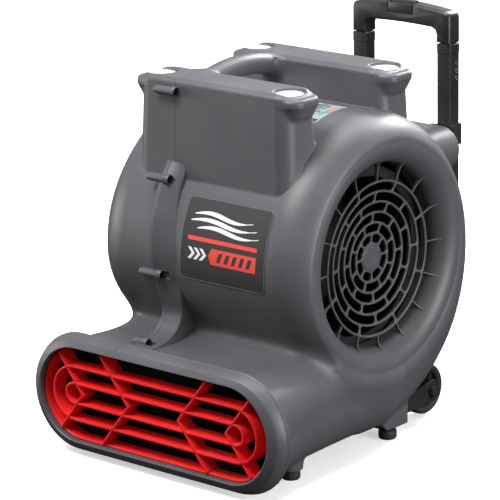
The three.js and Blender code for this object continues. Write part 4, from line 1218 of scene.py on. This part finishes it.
def pull_handle():
    for side, name in ((1, "right"), (-1, "left")):
        outer = square_tube(f"tube_outer_{name}", 10.7, 2.2, 1.8, 128.0, 462.0, side, PAINT, "housing",
                            f"outer_tube_{name}")
        inner = square_tube(f"tube_inner_{name}", 8.0, 1.5, 2.2, 145.0, 475.7, side, PAINT, "pull_handle",
                            f"inner_tube_{name}")
        collar = square_tube(f"collar_{name}", 11.2, 2.8, 2.2, 462.2, 474.4, side, BLACK, "housing",
                             f"tube_collar_{name}")
        for i, z in enumerate((448.0, 438.0, 428.0)):
            dimple = turned(f"tube_dimple_{name}_{i + 1}", [
                (0, 10.5), (1.5, 10.55), (1.9, 10.95), (2.6, 10.95), (2.9, 10.4), (0, 10.2)], "x",
                (0, TUBE_Y + 4.5, z), BRIGHT, sides=24)
            reshape(dimple, lambda p, side=side: p * np.array([side, 1, 1]) + np.array([side * TUBE_X, 0, 0]))
            shaded(dimple, angle=40)


pull_handle()


def hand_grip():
    """The grip bar: a softened outline with end legs, hollowed for the push button."""
    outline = [
        (-81, 476), (-59.5, 476), (-59.2, 486), (-57, 492.2), (-51, 495.2), (-24, 496.2),
        (0, 496.6), (24, 496.2), (51, 495.2), (57, 492.2), (59.2, 486), (59.5, 476),
        (81, 476), (81, 509), (80.3, 513), (77.6, 516.2),
        (70, 518.2), (52, 520.4), (36, 521.8), (20.6, 522.6), (20.2, 509.4), (-20.2, 509.4), (-20.6, 522.6),
        (-36, 521.8), (-52, 520.4), (-70, 518.2), (-77.6, 516.2), (-80.3, 513), (-81, 509)]
    rings = []
    for y, shrink in ((-12.5, 3.2), (-11.8, 1.5), (-10.2, 0.45), (-8.0, 0.0), (8.0, 0.0), (10.2, 0.45),
                      (11.8, 1.5), (12.5, 3.2)):
        ring = []
        for i, (x, z) in enumerate(outline):
            before = outline[i - 1]
            after = outline[(i + 1) % len(outline)]
            dx, dz = after[0] - before[0], after[1] - before[1]
            size = math.hypot(dx, dz)
            ring.append((x - shrink * dz / size, TUBE_Y + y, z + shrink * dx / size))
        rings.append(ring)
    grip = lofted("grip_bar", rings, BLACK, "pull_handle")
    shaded(grip, angle=38)
    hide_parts("trolley_grip")
    for side, name in ((-1, "front"), (1, "rear")):
        outline = [(522.0, -20.3), (522.0, 20.3), (509, 20.3), (509, -20.3)]
        middle = TUBE_Y + side * 10.6
        cheek = prism(f"grip_cheek_{name}", outline, "y", middle - 1.6, middle + 1.6, BLACK, "pull_handle")
        shaded(cheek, angle=35, bevel=0.8)
    button_rings = []
    for z, shrink in ((515.0, 0.0), (523.4, 0.0), (525.2, 0.7), (526.0, 2.2)):
        outline = rounded_outline(0, TUBE_Y, 19.3 - shrink, 6.4 - shrink, 3.4, 6)
        button_rings.append([(x, y, z) for x, y in outline])
    button = lofted("push_button", button_rings, BLACK, "grip_button")
    shaded(button, angle=35)
    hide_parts("grip_button")


hand_grip()


def pocket_highlight_discs():
    """A thin pale disc on the floor of each stacking pocket: a painted highlight for the light's shine on the
    pocket floor.
    """
    floor = BLOCK_TOP - POCKET_DEPTH
    profile = [(0, floor - 0.6), (16.6, floor - 0.6), (16.8, floor + 0.2), (16.2, floor + 0.5),
               (0, floor + 0.5)]
    places = [(side * POCKET_X, y) for y in (POCKET_FRONT_Y, POCKET_REAR_Y) for side in (1, -1)]
    for i, (x, y) in enumerate(places, 1):
        # Each disc paints the highlight of light on the pocket floor.
        pad = turned(f"pocket_highlight_disc_{i}", profile, "z", (x, y, 0), POCKET_HIGHLIGHT, sides=48)
        shaded(pad, angle=40)


pocket_highlight_discs()


def bevelled_nodes():
    """CAD parts whose shape is right keep their mesh and get a small edge round."""
    kept = ("upper_clamp", "lower_clamp", "wheel_fork", "axle_bolt", "axle_nut", "control_panel",
            "outlet_socket")
    for name in frame["nodes"]:
        if name.startswith(kept):
            edge = frame["nodes"][name].modifiers.new("edge_round", "BEVEL")
            edge.width = 0.0006
            edge.segments = 2
            edge.limit_method = "ANGLE"
            edge.angle_limit = math.radians(30)


bevelled_nodes()


# ---- Materials for the CAD parts that stay ----
NODE_LOOKS = {
    "outlet_red": RED, "black_plastic": BLACK, "painted_tube": PAINT, "foot_rubber": RUBBER,
    "screw_steel": STEEL, "bright_steel": BRIGHT, "motor_paint": MOTOR_PAINT_AND_SHADE, "lamination_steel": BRIGHT,
    "label_film": LABEL, "rating_label": PALE, "housing_plastic": GREY,
}
for entry in frame["record"]["subparts"]:
    node = frame["nodes"][entry["node"]]
    node.data.materials.clear()
    node.data.materials.append(NODE_LOOKS[entry["material_slot"]])


# ---- Studio: floor, light and camera ----
def make_floor():
    size = 6.0
    mesh = bpy.data.meshes.new("studio_floor")
    corners = [(-size, -size, 0), (size, -size, 0), (size, size, 0), (-size, size, 0)]
    mesh.from_pydata(corners, [], [(0, 1, 2, 3)])
    floor = bpy.data.objects.new("studio_floor", mesh)
    bpy.context.scene.collection.objects.link(floor)
    paper = mottled("floor_white", (0.86, 0.86, 0.86), (0.9, 0.9, 0.9), (0.6, 0.7), 60, 0.0)
    shader = paper.node_tree.nodes["Principled BSDF"]
    shader.inputs["Emission Color"].default_value = (1, 1, 1, 1)
    shader.inputs["Emission Strength"].default_value = 0.5
    mesh.materials.append(paper)
    floor.visible_diffuse = False
    floor.visible_glossy = False


def area_light(name, place, target, size, power):
    data = bpy.data.lights.new(name, "AREA")
    data.shape = "RECTANGLE"
    data.size, data.size_y = size
    data.energy = power
    lamp = bpy.data.objects.new(name, data)
    lamp.location = place
    lamp.visible_camera = False
    lamp.rotation_euler = (Vector(target) - Vector(place)).to_track_quat("-Z", "Y").to_euler()
    bpy.context.scene.collection.objects.link(lamp)


def make_lights():
    world = bpy.data.worlds.new("studio")
    world.use_nodes = True
    nodes, links = world.node_tree.nodes, world.node_tree.links
    place = nodes.new("ShaderNodeTexCoord")
    split = nodes.new("ShaderNodeSeparateXYZ")
    links.new(place.outputs["Generated"], split.inputs["Vector"])
    sky = nodes.new("ShaderNodeMapRange")
    sky.inputs["From Min"].default_value = -0.05
    sky.inputs["From Max"].default_value = 0.25
    sky.inputs["To Min"].default_value = 0.03
    sky.inputs["To Max"].default_value = 0.4
    links.new(split.outputs["Z"], sky.inputs["Value"])
    links.new(sky.outputs["Result"], nodes["Background"].inputs["Strength"])
    nodes["Background"].inputs["Color"].default_value = (1, 1, 1, 1)
    bpy.context.scene.world = world
    middle = (0, 0, 0.25)
    area_light("back_light", (-0.2, 2.4, 1.8), middle, (1.1, 1.1), 96)
    area_light("top_light", (0.0, 0.6, 3.0), middle, (1.4, 1.4), 48)
    area_light("front_light", (-0.5, -1.3, 2.6), middle, (1.2, 1.2), 78)
    area_light("low_light", (-2.7, -1.3, 0.5), middle, (1.4, 1.0), 30)
    area_light("right_light", (2.8, 0.2, 0.8), middle, (1.6, 1.6), 72)


CAMERA_AZIMUTH = math.radians(40.62)
CAMERA_HEIGHT_ANGLE = math.radians(15.634)
CAMERA_DISTANCE = 3.8607
CAMERA_ROLL = -0.01624
CAMERA_TARGET = Vector((0, -0.058, 0.240))
CAMERA_LENS = 217.74
CAMERA_SHIFT_X, CAMERA_SHIFT_Y = -0.0132, 0.0139


def make_camera():
    flat = math.cos(CAMERA_HEIGHT_ANGLE)
    back = Vector((math.sin(CAMERA_AZIMUTH) * flat, -math.cos(CAMERA_AZIMUTH) * flat,
                   math.sin(CAMERA_HEIGHT_ANGLE)))
    right = Vector((0, 0, 1)).cross(back).normalized()
    up = back.cross(right)
    turned_right = right * math.cos(CAMERA_ROLL) + up * math.sin(CAMERA_ROLL)
    turned_up = up * math.cos(CAMERA_ROLL) - right * math.sin(CAMERA_ROLL)
    data = bpy.data.cameras.new("camera")
    data.sensor_width = 36
    data.lens = CAMERA_LENS
    data.shift_x = CAMERA_SHIFT_X
    data.shift_y = CAMERA_SHIFT_Y
    data.clip_end = 50
    camera = bpy.data.objects.new("camera", data)
    place = CAMERA_TARGET + back * CAMERA_DISTANCE
    turn = Matrix((turned_right, turned_up, back)).transposed().to_4x4()
    camera.matrix_world = Matrix.Translation(place) @ turn
    bpy.context.scene.collection.objects.link(camera)
    bpy.context.scene.camera = camera


make_floor()
make_lights()
make_camera()
bpy.context.scene.view_settings.view_transform = "Standard"

bpy.context.view_layer.update()
